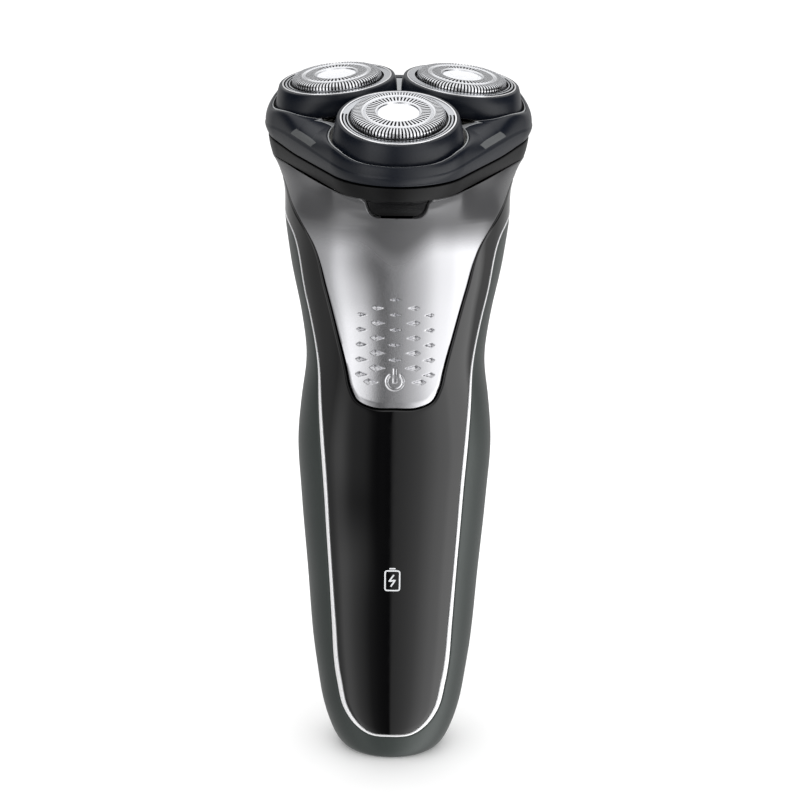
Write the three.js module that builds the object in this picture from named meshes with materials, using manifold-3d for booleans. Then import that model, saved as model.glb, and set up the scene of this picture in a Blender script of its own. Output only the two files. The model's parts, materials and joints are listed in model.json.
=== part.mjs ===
// A three-headed rotary shaver, taken apart into its real pieces.
// Millimetres, +Z up, +Y towards the back, origin on the flat of the base.
//
// The handle is one lofted surface (see "Body surface"): rings of a rounded section that follow
// the tables below up to the neck, then open out into the rounded triangle under the head.
// Two tilted frames share one origin above it: the band frame carries the flip-up shaving unit,
// the head frame carries the gear train and the three floating heads.
import * as THREE from "three";
import { mergeVertices } from "three/addons/utils/BufferGeometryUtils.js";
import Module from "manifold-3d";

const wasm = await Module();
wasm.setup();

// ---------------------------------------------------------------- driving dimensions
const GAP = 0.3;                       // clearance between neighbouring pieces
const WALL = 1.8;                      // moulded shell thickness
const RING_POINTS = 32;                // points around the body loft

// Body surface: [height, value] tables read by a smooth curve.
const HALF_WIDTH = [[0, 15.8], [15.8, 17.8], [27, 19.3], [46, 20.75], [66, 22.3], [80, 23],
  [89, 22.2], [99, 21], [109, 22.1], [121, 24.5], [131.8, 26]];
const FRONT_Y = [[0, -14.2], [16, -15.8], [40, -18], [70, -19.6], [98, -19.6], [115, -20],
  [124, -21.3], [131.8, -23.6]];
const BACK_Y = [[0, 14.5], [16, 16.3], [40, 19.5], [75, 22], [98, 20.3], [115, 21], [131.8, 23]];
const CENTRE_Y = [[0, 0], [98, 0.5], [131.8, 2]];
const NECK_Z = 131.8;                  // the loft starts to tilt and flare here
const BOTTOM_ROUND = 15.8;             // height over which the base rounds in
const BASE_HALF_WIDTH = 11.5, BASE_FRONT_Y = -11.3, BASE_BACK_Y = 10.5;
const BASE_POWER = 2.1, BODY_POWER = 2.35;   // roundness of the section (2 is an ellipse)
const FLARE_POWER = 2.6;               // how late the neck opens out

// Head: common origin and the tilts of the two frames.
const HEAD_Y = 2.4, HEAD_Z = 144.3;
const BAND_TILT = THREE.MathUtils.degToRad(10.5);
const HEAD_TILT = THREE.MathUtils.degToRad(16);
const HEAD_SPACING = 28.7;             // between the axes of two heads
const RHO = HEAD_SPACING / Math.sqrt(3);
const HEAD_ANGLES = { front: -90, right: 30, left: 150 };
const GAP_ANGLES = { rear: 90, left: 210, right: 330 };
const LEAN = THREE.MathUtils.degToRad(6.5);  // each head leans outwards
const FLANGE_Z = 16.4;                 // flange plane on the head axis

// Rounded triangle (hull of three circles of radius R round the head axes).
const BAND_R = 15.4, SEAM_R = 16.15, COVER_R = 16.75, COVER_TOP_R = 15.75;
const BAND_HEIGHT = 4.1, SEAM = 0.4;
const COVER_TOP_Z = 12.6, COVER_TOP_SLOPE = 0.114;
const CAVITY_R = 14.2;                 // inside of the band
const OPENING_R = 15.1;                // hole in the cover for one dome
const TIP_R = 17.2;                    // the cover's three tips reach in to here

// One head, in its own frame: radius, height over the flange plane.
const DOME_TOP_R = 13.2, DOME_BASE_R = 14.6, DOME_BORE_R = 12.75, DOME_DEPTH = 4.5;
const DOME_SKIRT = 5.2, DOME_SPLIT = 0.45;
const GUARD_R = 12.45, GUARD_HOLE_R = 10.65;
const FOIL_R = 10.35, FOIL_TOP = 1.5, FOIL_WALL = 0.35;
const CUTTER_R = 9.4, CUTTER_HOLE_R = 4.6, CUTTER_TOP = 0.8;
const SOCKET_R = 2.6, HUB_R = 3.9, HUB_DEPTH = 6.3;

// Gear train, in the head frame.
const PINION_TEETH = 15, SPINDLE_TEETH = 24;
const GEAR_MODULE = 2 * RHO / (PINION_TEETH + SPINDLE_TEETH);
const GEAR_Z = 3.3, GEAR_THICKNESS = 2.2, BACKLASH = 0.25;
const GEARBOX_R = 12.1, GEARBOX_WALL = 0.8, GEARBOX_Z = 2.2, DECK_Z = 6.2;
const SPINDLE_R = 1.2, SPINDLE_TOP = 12;
const MOTOR_WIDTH = 20.4, MOTOR_DEPTH = 15.4, MOTOR_TOP = -0.8, MOTOR_LENGTH = 25;

// Outlines seen from the front: [half width, height], lower end first.
const TRIM_OUTLINE = [[0, 7.1], [5.2, 7.6], [8.2, 9.7], [10.8, 13.4], [12.7, 21.3], [14, 37.3],
  [15.2, 57.8], [16.4, 77.3], [17.45, 95.7], [20.4, 114], [23.7, 129.6], [25.7, 136.5]];
const NECK_OUTLINE = [[0, 90.65], [5.5, 90.9], [8.6, 92.3], [10.1, 95], [11.1, 99.3], [13.8, 110],
  [15.85, 117.8], [18.75, 128], [22.2, 133.5], [24.7, 137.4], [26.8, 141]];
const TRIM_HALF_WIDTH = 0.33;
const COLLAR_Z = 135;                  // the trim line round the back
const SPLIT_Y = 1.3;                   // behind this the outlines run level round the back
const NECK_BACK_Z = 140.6, NECK_BACK_TILT = THREE.MathUtils.degToRad(7.35);
const TONGUE_HINGE_Z = 118;            // the power tongue bends here
const BUTTON_HALF_TOP = 6.65, BUTTON_HALF_BOTTOM = 3.2, BUTTON_Z = 134.65;
const FRONT_MIDDLE_Z = 49;             // charge indicator

// Hinge of the shaving unit, in the band frame.
const HINGE_Y = 26.2, HINGE_Z = 1, KNUCKLE_R = 1.5, HINGE_BORE = 0.9, HINGE_PIN_R = 0.6;

// ---------------------------------------------------------------- materials
function material(color, roughness, metalness) {
  return new THREE.MeshStandardMaterial({ color, roughness, metalness });
}
const SHELL = material(0x4b5250, 0.45, 0.1);
const GLOSS_BLACK = material(0x18181a, 0.08, 0);
const TRIM_SILVER = material(0xe6e6e6, 0.2, 0.9);
const SATIN_SILVER = material(0xb9b9bc, 0.3, 0.9);
const COVER_BLACK = material(0x20242b, 0.35, 0.1);
const BAND_BLACK = material(0x1c1b1c, 0.4, 0);
const CENTRE_GREY = material(0x77797a, 0.4, 0.2);
const STEEL = material(0xc8c8c8, 0.25, 1);
const DARK_STEEL = material(0x2b2c2e, 0.3, 0.8);
const WHITE_NYLON = material(0xe4e2da, 0.5, 0);
const CHASSIS = material(0x8d9092, 0.6, 0);
const BOARD_GREEN = material(0x1f5a38, 0.5, 0);
const CELL_BLUE = material(0x2f5f9e, 0.35, 0);
const RUBBER = material(0x151515, 0.85, 0);
const BRASS = material(0xb08d3c, 0.35, 0.9);
const LIGHT_WHITE = material(0xf2f2f2, 0.2, 0);

// ---------------------------------------------------------------- solids and meshes
function solid(geometry) {
  const bare = geometry.clone();
  for (const name of Object.keys(bare.attributes)) {
    if (name !== "position") bare.deleteAttribute(name);
  }
  const merged = mergeVertices(bare, 1e-4);
  const vertProperties = new Float32Array(merged.attributes.position.array);
  const triVerts = new Uint32Array(merged.index.array);
  return new wasm.Manifold(new wasm.Mesh({ numProp: 3, vertProperties, triVerts }));
}

function toGeometry(body) {
  const mesh = body.getMesh();
  const geometry = new THREE.BufferGeometry();
  geometry.setAttribute("position", new THREE.BufferAttribute(mesh.vertProperties, 3));
  geometry.setIndex(new THREE.BufferAttribute(mesh.triVerts, 1));
  return geometry;
}

function union(...bodies) {
  return bodies.reduce((sum, body) => sum.add(body));
}

function cut(body, ...tools) {
  return tools.reduce((rest, tool) => rest.subtract(tool), body);
}

function put(parent, name, body, look) {
  const geometry = body.isBufferGeometry ? body : toGeometry(body);
  geometry.computeVertexNormals();
  const mesh = new THREE.Mesh(geometry, look);
  mesh.name = name;
  parent.add(mesh);
}

function box(x0, x1, y0, y1, z0, z1) {
  const geometry = new THREE.BoxGeometry(x1 - x0, y1 - y0, z1 - z0);
  return solid(geometry.translate((x0 + x1) / 2, (y0 + y1) / 2, (z0 + z1) / 2));
}

function drum(radius, z0, z1, x = 0, y = 0, sides = 14) {
  const geometry = new THREE.CylinderGeometry(radius, radius, z1 - z0, sides);
  return solid(geometry.rotateX(Math.PI / 2).translate(x, y, (z0 + z1) / 2));
}

function pipe(outer, inner, z0, z1, x = 0, y = 0, sides = 12) {
  return cut(drum(outer, z0, z1, x, y, sides), drum(inner, z0 - 1, z1 + 1, x, y, sides));
}

// A closed profile of [radius, height] points turned round +Z.
function turned(points, sides = 32) {
  const profile = points.map(([radius, height]) => new THREE.Vector2(radius, height));
  return new THREE.LatheGeometry([...profile, profile[0].clone()], sides).rotateX(Math.PI / 2);
}

function prism(points, z0, z1) {
  const shape = new THREE.Shape(points.map(([x, y]) => new THREE.Vector2(x, y)));
  const geometry = new THREE.ExtrudeGeometry(shape, { depth: z1 - z0, bevelEnabled: false });
  return geometry.translate(0, 0, z0);
}

// A prism of an outline in X and Z, running along Y from y0 to y1.
function frontPrism(points, y0, y1) {
  return solid(prism(points, -y1, -y0).rotateX(Math.PI / 2));
}

function moved(body, matrix) {
  return solid(toGeometry(body).applyMatrix4(matrix));
}

function polar(radius, degrees) {
  const angle = THREE.MathUtils.degToRad(degrees);
  return [radius * Math.cos(angle), radius * Math.sin(angle)];
}

// ---------------------------------------------------------------- curves
// Smooth curve through [x, y] keys, its slopes the length-weighted mean of the two sides.
function follow(keys, x) {
  const last = keys.length - 1;
  const at = Math.min(Math.max(x, keys[0][0]), keys[last][0]);
  let i = 0;
  while (i < last - 1 && at >= keys[i + 1][0]) i += 1;
  const step = (k) => keys[k + 1][0] - keys[k][0];
  const slope = (k) => (keys[k + 1][1] - keys[k][1]) / step(k);
  const tangent = (k) => {
    if (k === 0) return slope(0);
    if (k === last) return slope(last - 1);
    return (slope(k - 1) * step(k) + slope(k) * step(k - 1)) / (step(k) + step(k - 1));
  };
  const h = step(i);
  const t = (at - keys[i][0]) / h;
  const t2 = t * t;
  const t3 = t2 * t;
  return (2 * t3 - 3 * t2 + 1) * keys[i][1] + (t3 - 2 * t2 + t) * h * tangent(i)
    + (3 * t2 - 2 * t3) * keys[i + 1][1] + (t3 - t2) * h * tangent(i + 1);
}

// Radius of the rounded triangle in one direction.
function hullRadius(angle, R) {
  const third = 2 * Math.PI / 3;
  const turn = (((angle + Math.PI / 2 + Math.PI / 3) % third) + third) % third;
  const off = Math.abs(turn - Math.PI / 3);
  const tangent = Math.atan2(R * Math.sin(Math.PI / 3), RHO + R * Math.cos(Math.PI / 3));
  if (off < tangent) {
    return RHO * Math.cos(off) + Math.sqrt(R * R - (RHO * Math.sin(off)) ** 2);
  }
  return (RHO / 2 + R) / Math.cos(Math.PI / 3 - off);
}

// The same outline as points: an arc round each head, straight between them.
function hullPoints(R, arcSteps = 6) {
  const points = [];
  for (const centre of [-90, 30, 150]) {
    for (let i = 0; i <= arcSteps; i += 1) {
      const arc = polar(R, centre - 60 + 120 * i / arcSteps);
      const axis = polar(RHO, centre);
      points.push([axis[0] + arc[0], axis[1] + arc[1]]);
    }
  }
  return points;
}

// ---------------------------------------------------------------- body surface
// One ring. Below NECK_Z the level is its height; from there the next unit is the flare.
function bodyRing(level, inset, rimInset, lift = 0) {
  const z = Math.min(level, NECK_Z);
  const u = Math.min(Math.max(level - NECK_Z, 0), 1);
  const q = Math.sqrt(1 - (1 - Math.min(z, BOTTOM_ROUND) / BOTTOM_ROUND) ** 2);
  const grow = (base, keys) => base + (follow(keys, z) - base) * q;
  const centre = follow(CENTRE_Y, z);
  const width = grow(BASE_HALF_WIDTH, HALF_WIDTH) - inset;
  const front = centre - grow(BASE_FRONT_Y, FRONT_Y) - inset;
  const back = grow(BASE_BACK_Y, BACK_Y) - centre - inset;
  const power = BASE_POWER + (BODY_POWER - BASE_POWER) * q;
  const blend = u ** FLARE_POWER;
  const tilt = BAND_TILT * u;
  const ringY = centre + (HEAD_Y - centre) * u;
  const ringZ = z + (HEAD_Z - GAP - NECK_Z) * u + lift;
  const ring = [];
  for (let i = 0; i < RING_POINTS; i += 1) {
    const angle = 2 * Math.PI * (i + 0.5) / RING_POINTS;
    const c = Math.cos(angle);
    const s = Math.sin(angle);
    const depth = s < 0 ? front : back;
    const body = (Math.abs(c / width) ** power + Math.abs(s / depth) ** power) ** (-1 / power);
    const r = body * (1 - blend) + hullRadius(angle, BAND_R - rimInset) * blend;
    ring.push([r * c, ringY + r * s * Math.cos(tilt), ringZ + r * s * Math.sin(tilt)]);
  }
  return ring;
}

// Closed skin over a stack of rings that all have the same number of points.
function loft(rings) {
  const count = rings[0].length;
  const positions = rings.flat(2);
  const faces = [];
  for (let k = 0; k + 1 < rings.length; k += 1) {
    for (let i = 0; i < count; i += 1) {
      const j = (i + 1) % count;
      const [a, b, c, d] = [k * count + i, k * count + j, (k + 1) * count + j, (k + 1) * count + i];
      faces.push(a, b, c, a, c, d);
    }
  }
  for (const [ring, flip] of [[0, true], [rings.length - 1, false]]) {
    const middle = positions.length / 3;
    for (const axis of [0, 1, 2]) {
      positions.push(rings[ring].reduce((sum, point) => sum + point[axis], 0) / count);
    }
    for (let i = 0; i < count; i += 1) {
      const [a, b] = [ring * count + i, ring * count + (i + 1) % count];
      faces.push(...(flip ? [middle, b, a] : [middle, a, b]));
    }
  }
  const geometry = new THREE.BufferGeometry();
  geometry.setAttribute("position", new THREE.Float32BufferAttribute(positions, 3));
  geometry.setIndex(faces);
  return solid(geometry);
}

const LEVELS = [0, 1.2, 3.6, 8, 15.8, 30, 48, 66, 80, 90, 99, 109, 120, 131.8,
  132.2, 132.5, 132.68, 132.8];

function bodyShell(thickness, rim) {
  const outside = loft(LEVELS.map((level) => bodyRing(level, 0, 0)));
  const inner = LEVELS.filter((level) => level > 2).map((level) => bodyRing(level, thickness, rim));
  inner.push(bodyRing(132.8, thickness, rim, 3));
  return cut(outside, loft(inner));
}

// Mirror a [half width, height] outline into a closed loop that runs up to z = top.
function mirrored(outline, offset, top) {
  const right = new THREE.SplineCurve(outline.map(([x, z]) => new THREE.Vector2(x, z)));
  const count = 20;
  const side = [];
  for (let i = 0; i <= count; i += 1) {
    const point = right.getPoint(i / count);
    const along = right.getTangent(i / count);
    side.push([Math.max(point.x + offset * along.y, 0), point.y - offset * along.x]);
  }
  side[0][0] = 0;
  const end = side[side.length - 1];
  side.push([end[0] + 8, end[1] + 0.01], [end[0] + 8, top]);
  const left = side.slice(1).reverse().map(([x, z]) => [-x, z]);
  return [...side, ...left];
}

// The space in front of an outline, and all round above a tilted plane at the back.
function windowTool(outline, offset, backZ, backTilt) {
  const front = frontPrism(mirrored(outline, offset, 175), -60, SPLIT_Y);
  const slab = new THREE.Matrix4().makeRotationX(backTilt);
  slab.setPosition(0, SPLIT_Y, backZ - offset);
  return front.add(moved(box(-60, 60, 0, 60, 0, 60), slab));
}

// ---------------------------------------------------------------- handle shells
const shell = bodyShell(WALL, 2);
const insideTrim = windowTool(TRIM_OUTLINE, -TRIM_HALF_WIDTH - GAP, COLLAR_Z, 0);
const trimInner = windowTool(TRIM_OUTLINE, -TRIM_HALF_WIDTH, COLLAR_Z, 0);
const trimOuter = windowTool(TRIM_OUTLINE, TRIM_HALF_WIDTH, COLLAR_Z, 0);
const outsideTrim = windowTool(TRIM_OUTLINE, TRIM_HALF_WIDTH + GAP, COLLAR_Z, 0);
const neckWindow = windowTool(NECK_OUTLINE, 0, NECK_BACK_Z, NECK_BACK_TILT);
const neckClearance = windowTool(NECK_OUTLINE, GAP, NECK_BACK_Z, NECK_BACK_TILT);

function buttonOutline(grow) {
  const top = 145;
  const right = [[BUTTON_HALF_BOTTOM + grow, BUTTON_Z - grow], [5.1 + grow, BUTTON_Z + 0.55 - grow],
    [6.1 + grow, BUTTON_Z + 1.6], [BUTTON_HALF_TOP + grow, BUTTON_Z + 3.2],
    [BUTTON_HALF_TOP + grow, top]];
  return [...right, ...right.slice().reverse().map(([x, z]) => [-x, z])];
}

const INLET = { x: 4.4, y0: 3, y1: 6.4, top: 8 };

function rearShell() {
  const { x, y0, y1 } = INLET;
  return cut(shell, outsideTrim, box(-x - GAP, x + GAP, y0 - GAP, y1 + GAP, -1, 4));
}

function frontPanel() {
  const lensHole = frontPrism(lensOutline(GAP), -40, 0);
  return cut(shell.intersect(insideTrim), neckClearance, lensHole);
}

function trimStrip() {
  return cut(shell.intersect(trimOuter), trimInner);
}

function lensOutline(grow) {
  const [w, h] = [2 + grow, 3.1 + grow];
  return [[-w, FRONT_MIDDLE_Z - h], [w, FRONT_MIDDLE_Z - h], [w, FRONT_MIDDLE_Z + h],
    [-w, FRONT_MIDDLE_Z + h]];
}

function indicatorLens() {
  const stem = box(-1.2, 1.2, -18, -10.6, FRONT_MIDDLE_Z - 1.2, FRONT_MIDDLE_Z + 1.2);
  return shell.intersect(frontPrism(lensOutline(0), -40, 0)).add(stem);
}

function neckShell() {
  const below = box(-60, 60, -60, 0, 60, TONGUE_HINGE_Z + GAP / 2);
  const buttonHole = frontPrism(buttonOutline(GAP), -60, -16);
  return cut(shell.intersect(neckWindow), below, buttonHole);
}

function powerTongue() {
  const above = box(-60, 60, -60, 60, TONGUE_HINGE_Z - GAP / 2, 190);
  const boss = box(-1.6, 1.6, -18.6, -13.9, 95.4, 98.6);
  return cut(shell.intersect(neckWindow), above).add(boss);
}

// The plate follows the neck; the finger rib behind it reaches the latch hook.
function releaseButton() {
  const plate = bodyShell(0.8, 0.8).intersect(frontPrism(buttonOutline(0), -60, -16));
  const rib = box(-2, 2, -25.2, -21.4, 135.4, 136.4);
  return plate.add(rib);
}

// ---------------------------------------------------------------- inside the handle
const CELL_Y = 3.5, CELL_R = 7, CELL_Z0 = 24, CELL_Z1 = 74;

function innerFrame() {
  const spine = box(-9, 9, 11.2, 12.6, 20, 111);
  const foot = box(-9, 9, -6, 12, 20, 21.4);
  const shelf = box(-9, 9, -6, 12, 77, 78.4);
  const crown = box(-9, 9, -6, 12, 109.6, 111);
  const rails = [-9, 7.8].map((x) => box(x, x + 1.2, -6.5, 12, 20, 111));
  const windows = [[30, 70], [84, 104]].map(([z0, z1]) => box(-20, 20, -3, 8, z0, z1));
  return cut(union(spine, foot, shelf, crown, ...rails), ...windows);
}

function motorCan() {
  const can = drum(MOTOR_WIDTH / 2, MOTOR_TOP - MOTOR_LENGTH, MOTOR_TOP, 0, 0, 28);
  const flats = box(-20, 20, -MOTOR_DEPTH / 2, MOTOR_DEPTH / 2, -60, 10);
  return can.intersect(flats);
}

function usbSocket() {
  const { x, y0, y1, top } = INLET;
  const can = box(-x, x, y0, y1, 0.8, top);
  return cut(can, box(-x + 0.35, x - 0.35, y0 + 0.35, y1 - 0.35, 0, top - 0.8));
}

function inletTongue() {
  const y = (INLET.y0 + INLET.y1) / 2;
  return box(-3.3, 3.3, y - 0.35, y + 0.35, 1.6, INLET.top - 1.1);
}

function tactSwitch() {
  return box(-3, 3, -11.9, -8.9, 94, 100).add(box(-1.5, 1.5, -13.05, -11, 95.5, 98.5));
}

// ---------------------------------------------------------------- gear train
function gear(teeth, bore) {
  const pitchRadius = teeth * GEAR_MODULE / 2;
  const tip = pitchRadius + 0.85 * GEAR_MODULE;
  const root = pitchRadius - 1.15 * GEAR_MODULE;
  const half = Math.PI / 2 / teeth;
  const slack = BACKLASH / 2 / pitchRadius;
  const points = [];
  for (let i = 0; i < teeth; i += 1) {
    const middle = 4 * half * i;
    for (const [radius, turn] of [[root, -1.5], [tip, -0.48], [tip, 0.48], [root, 1.5]]) {
      const angle = middle + turn * half - Math.sign(turn) * slack;
      points.push([radius * Math.cos(angle), radius * Math.sin(angle)]);
    }
  }
  const blank = solid(prism(points, GEAR_Z, GEAR_Z + GEAR_THICKNESS));
  return cut(blank, drum(bore, 0, 20, 0, 0, 12));
}

// Turn a spindle gear so that its gap faces the pinion tooth nearest the line of centres.
function meshTurn(direction) {
  const pitch = 360 / PINION_TEETH;
  const lag = ((direction % pitch) + pitch) % pitch;
  return direction + 180 + lag * PINION_TEETH / SPINDLE_TEETH + 180 / SPINDLE_TEETH;
}

function hullSlab(R, z0, z1) {
  return solid(prism(hullPoints(R), z0, z1));
}

function deckScrewPlaces() {
  return Object.values(GAP_ANGLES).map((angle) => polar(14, angle));
}

function gearHousing() {
  const floor = GEARBOX_Z + 0.8;
  const tray = cut(hullSlab(GEARBOX_R, GEARBOX_Z, DECK_Z - GAP),
    hullSlab(GEARBOX_R - GEARBOX_WALL, floor, DECK_Z + 1));
  const nose = drum(7.5, MOTOR_TOP + GAP, floor, 0, 0);
  const posts = deckScrewPlaces().map(([x, y]) => drum(2, GEARBOX_Z, DECK_Z - GAP, x, y, 12));
  const holes = deckScrewPlaces().map(([x, y]) => drum(1.1, floor, DECK_Z + 1, x, y, 12));
  return cut(union(tray, nose, ...posts), drum(1.6, -5, 10, 0, 0, 16), ...holes);
}

function couplingDeck() {
  let deck = hullSlab(GEARBOX_R, DECK_Z, DECK_Z + 0.8);
  for (const angle of Object.values(HEAD_ANGLES)) {
    const [x, y] = polar(RHO, angle);
    deck = cut(deck.add(drum(3.6, DECK_Z, DECK_Z + 1.6, x, y)), drum(2.8, DECK_Z + 0.6, 20, x, y),
      drum(1.9, 0, 20, x, y, 16));
  }
  const screwHoles = deckScrewPlaces().map(([x, y]) => drum(1.1, 0, 20, x, y, 12));
  return cut(deck, ...screwHoles);
}

function deckScrew(x, y) {
  const head = drum(1.7, DECK_Z + 0.8 + GAP, DECK_Z + 1.7, x, y, 12);
  return head.add(drum(0.8, GEARBOX_Z + 1.6, DECK_Z + 1.3, x, y, 8));
}

function spindleShaft() {
  const shaft = drum(SPINDLE_R, GEAR_Z, SPINDLE_TOP - 2.4, 0, 0, 16);
  const drive = drum(SPINDLE_R, SPINDLE_TOP - 2.6, SPINDLE_TOP, 0, 0, 6);
  return shaft.add(drive);
}

// ---------------------------------------------------------------- flip-up shaving unit
function coverTop(y) {
  return COVER_TOP_Z + COVER_TOP_SLOPE * y;
}

function coverLoft(stations, shrink) {
  const bottom = BAND_HEIGHT + SEAM;
  return loft(stations.map(([part, R, drop]) => hullPoints(R - shrink).map(([x, y]) => {
    const top = coverTop(y) - drop;
    return [x, y, bottom + (top - bottom) * part];
  })));
}

// From the band frame into the head frame and on to one leaning head.
function inHeadFrame() {
  return new THREE.Matrix4().makeRotationX(HEAD_TILT - BAND_TILT);
}

function headMatrix(angle) {
  const [x, y] = polar(RHO, angle);
  const place = new THREE.Matrix4().makeTranslation(x, y, FLANGE_Z);
  place.multiply(new THREE.Matrix4().makeRotationZ(THREE.MathUtils.degToRad(angle)));
  return place.multiply(new THREE.Matrix4().makeRotationY(LEAN));
}

function openings(radius) {
  const well = drum(radius, -9, 12, 0, 0, 30);
  return Object.values(HEAD_ANGLES).map((angle) => {
    return moved(well, inHeadFrame().multiply(headMatrix(angle)));
  });
}

function knuckle(x0, x1, radius) {
  const barrel = new THREE.CylinderGeometry(radius, radius, x1 - x0, 16).rotateZ(Math.PI / 2);
  return solid(barrel.translate((x0 + x1) / 2, HINGE_Y, HINGE_Z));
}

function unitBase() {
  const ring = loft([[BAND_R, 0], [BAND_R + 0.5, 2], [SEAM_R, BAND_HEIGHT]].map(([R, z]) => {
    return hullPoints(R).map(([x, y]) => [x, y, z]);
  }));
  const cavity = moved(hullSlab(CAVITY_R, -8, 12), inHeadFrame());
  const lug = box(-3.6, 3.6, 23.2, HINGE_Y, 0.1, HINGE_Z + 1.1);
  const hook = box(-2.2, 2.2, -31.2, -29.2, 0.7, 1.6).add(box(-2.2, 2.2, -29.65, -29.2, -0.1, 1.6));
  const body = union(cut(ring, cavity), lug, hook, knuckle(-3.6, 3.6, KNUCKLE_R));
  return cut(body, knuckle(-5, 5, HINGE_BORE));
}

const COVER_STATIONS = [[0, SEAM_R, 0], [0.3, COVER_R, 0], [0.62, COVER_R, 0], [0.86, 16.3, 0],
  [1, COVER_TOP_R, 0]];

function headCover() {
  const outside = coverLoft(COVER_STATIONS, 0);
  const inside = coverLoft([[-0.2, SEAM_R, 0], [0, SEAM_R, 0], [0.5, COVER_R, 1.4], [1, 16.2, 1.4]], 1.3);
  const middle = moved(drum(TIP_R, -5, 30, 0, 0, 18), inHeadFrame());
  return cut(outside, inside, middle, ...openings(OPENING_R));
}

function centrePlate() {
  const slab = coverLoft([[0.4, 14, 0], [1, 14, 0]], 0);
  const disc = moved(drum(TIP_R - GAP, 10.2, 30, 0, 0, 18), inHeadFrame());
  const pillars = cut(slab.intersect(disc), ...openings(OPENING_R + 0.2));
  const arms = Object.values(GAP_ANGLES).map((angle) => {
    const turn = new THREE.Matrix4().makeRotationZ(THREE.MathUtils.degToRad(angle));
    return moved(box(0, TIP_R - 1, -1.3, 1.3, 9.9, 10.9), inHeadFrame().multiply(turn));
  });
  return union(pillars, ...arms);
}

// Its small holes clear the heads of the deck screws.
function cutterRetainer() {
  const spindles = Object.values(HEAD_ANGLES).map((angle) => polar(RHO, angle));
  const holes = [...spindles.map(([x, y]) => drum(5.4, 0, 20, x, y)),
    ...deckScrewPlaces().map(([x, y]) => drum(2.2, 0, 20, x, y))];
  return cut(hullSlab(CAVITY_R - GAP, 7.7, 8.5), ...holes);
}

// ---------------------------------------------------------------- one floating head
function dome(angle) {
  const profile = [[DOME_BORE_R, 0.1], [DOME_BORE_R, -4.5], [11, -4.5], [11, -DOME_SKIRT],
    [DOME_BASE_R, -DOME_SKIRT], [DOME_BASE_R, -DOME_DEPTH], [DOME_TOP_R, 0.1]];
  const back = headMatrix(angle).invert();
  const keep = [];
  for (const side of [-150, 150]) {
    const wall = new THREE.Matrix4().makeTranslation(...polar(RHO, angle), 0);
    wall.multiply(new THREE.Matrix4().makeRotationZ(THREE.MathUtils.degToRad(angle + side)));
    keep.push(moved(box(HEAD_SPACING / 2 - DOME_SPLIT, 40, -40, 40, -30, 60), back.clone().multiply(wall)));
  }
  return cut(solid(turned(profile, 30)), ...keep);
}

function foilGuard() {
  return turned([[GUARD_HOLE_R, 0], [GUARD_HOLE_R, -0.7], [11.3, -0.7], [11.3, -3.2],
    [GUARD_R, -3.2], [GUARD_R, 0]], 24);
}

// The perforated cap: raised rim, groove between the two cutting tracks, raised centre.
function foilCap() {
  const inside = FOIL_R - FOIL_WALL;
  return turned([[0, 1.15], [4.5, 1.15], [4.7, FOIL_TOP], [9.9, FOIL_TOP], [FOIL_R, 1.1], [FOIL_R, -1.6], [inside, -1.6],
    [inside, 1.1], [4.9, 1.1], [4.5, 0.85], [0, 0.85]].reverse(), 24);
}

function innerCutter() {
  const teeth = 15;
  const points = [];
  for (let i = 0; i < teeth; i += 1) {
    const start = 360 * i / teeth;
    points.push(polar(CUTTER_R, start), polar(CUTTER_R, start + 11), polar(7, start + 13),
      polar(7, start + 22));
  }
  const crown = solid(prism(points, -0.4, 0.75));
  return cut(crown, drum(CUTTER_HOLE_R, -3, 3));
}

function cutterHub() {
  const socket = drum(HUB_R, -HUB_DEPTH, -0.7, 0, 0, 18).add(drum(6, -1.3, -0.7, 0, 0, 18));
  return cut(socket, drum(SOCKET_R / Math.cos(Math.PI / 6), -HUB_DEPTH - 1, -1.9, 0, 0, 6));
}

// ---------------------------------------------------------------- assembly
const shaver = new THREE.Group();
const bandFrame = new THREE.Group();
bandFrame.position.set(0, HEAD_Y, HEAD_Z);
bandFrame.rotation.x = BAND_TILT;
const headFrame = new THREE.Group();
headFrame.position.set(0, HEAD_Y, HEAD_Z);
headFrame.rotation.x = HEAD_TILT;
shaver.add(bandFrame, headFrame);

function addHandle() {
  const brackets = [[-6.6, -4], [4, 6.6]].map(([x0, x1]) => {
    const web = box(x0, x1, 25.2, 27.2, -3.4, HINGE_Z).add(box(x0, x1, 22.6, 27.2, -3.4, -0.4));
    return cut(web.add(knuckle(x0, x1, KNUCKLE_R)), knuckle(x0 - 1, x1 + 1, HINGE_BORE));
  });
  const bandMatrix = new THREE.Matrix4().makeRotationX(BAND_TILT).setPosition(0, HEAD_Y, HEAD_Z);
  const neck = union(neckShell(), ...brackets.map((bracket) => moved(bracket, bandMatrix)));
  put(shaver, "rear_shell", rearShell(), SHELL);
  put(shaver, "front_panel", frontPanel(), GLOSS_BLACK);
  put(shaver, "trim_strip", trimStrip(), TRIM_SILVER);
  put(shaver, "neck_shell", neck, SATIN_SILVER);
  put(shaver, "power_tongue", powerTongue(), SATIN_SILVER);
  put(shaver, "release_button", releaseButton(), BAND_BLACK);
  put(bandFrame, "hinge_pin", knuckle(-6.4, 6.4, HINGE_PIN_R), STEEL);
}

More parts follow.
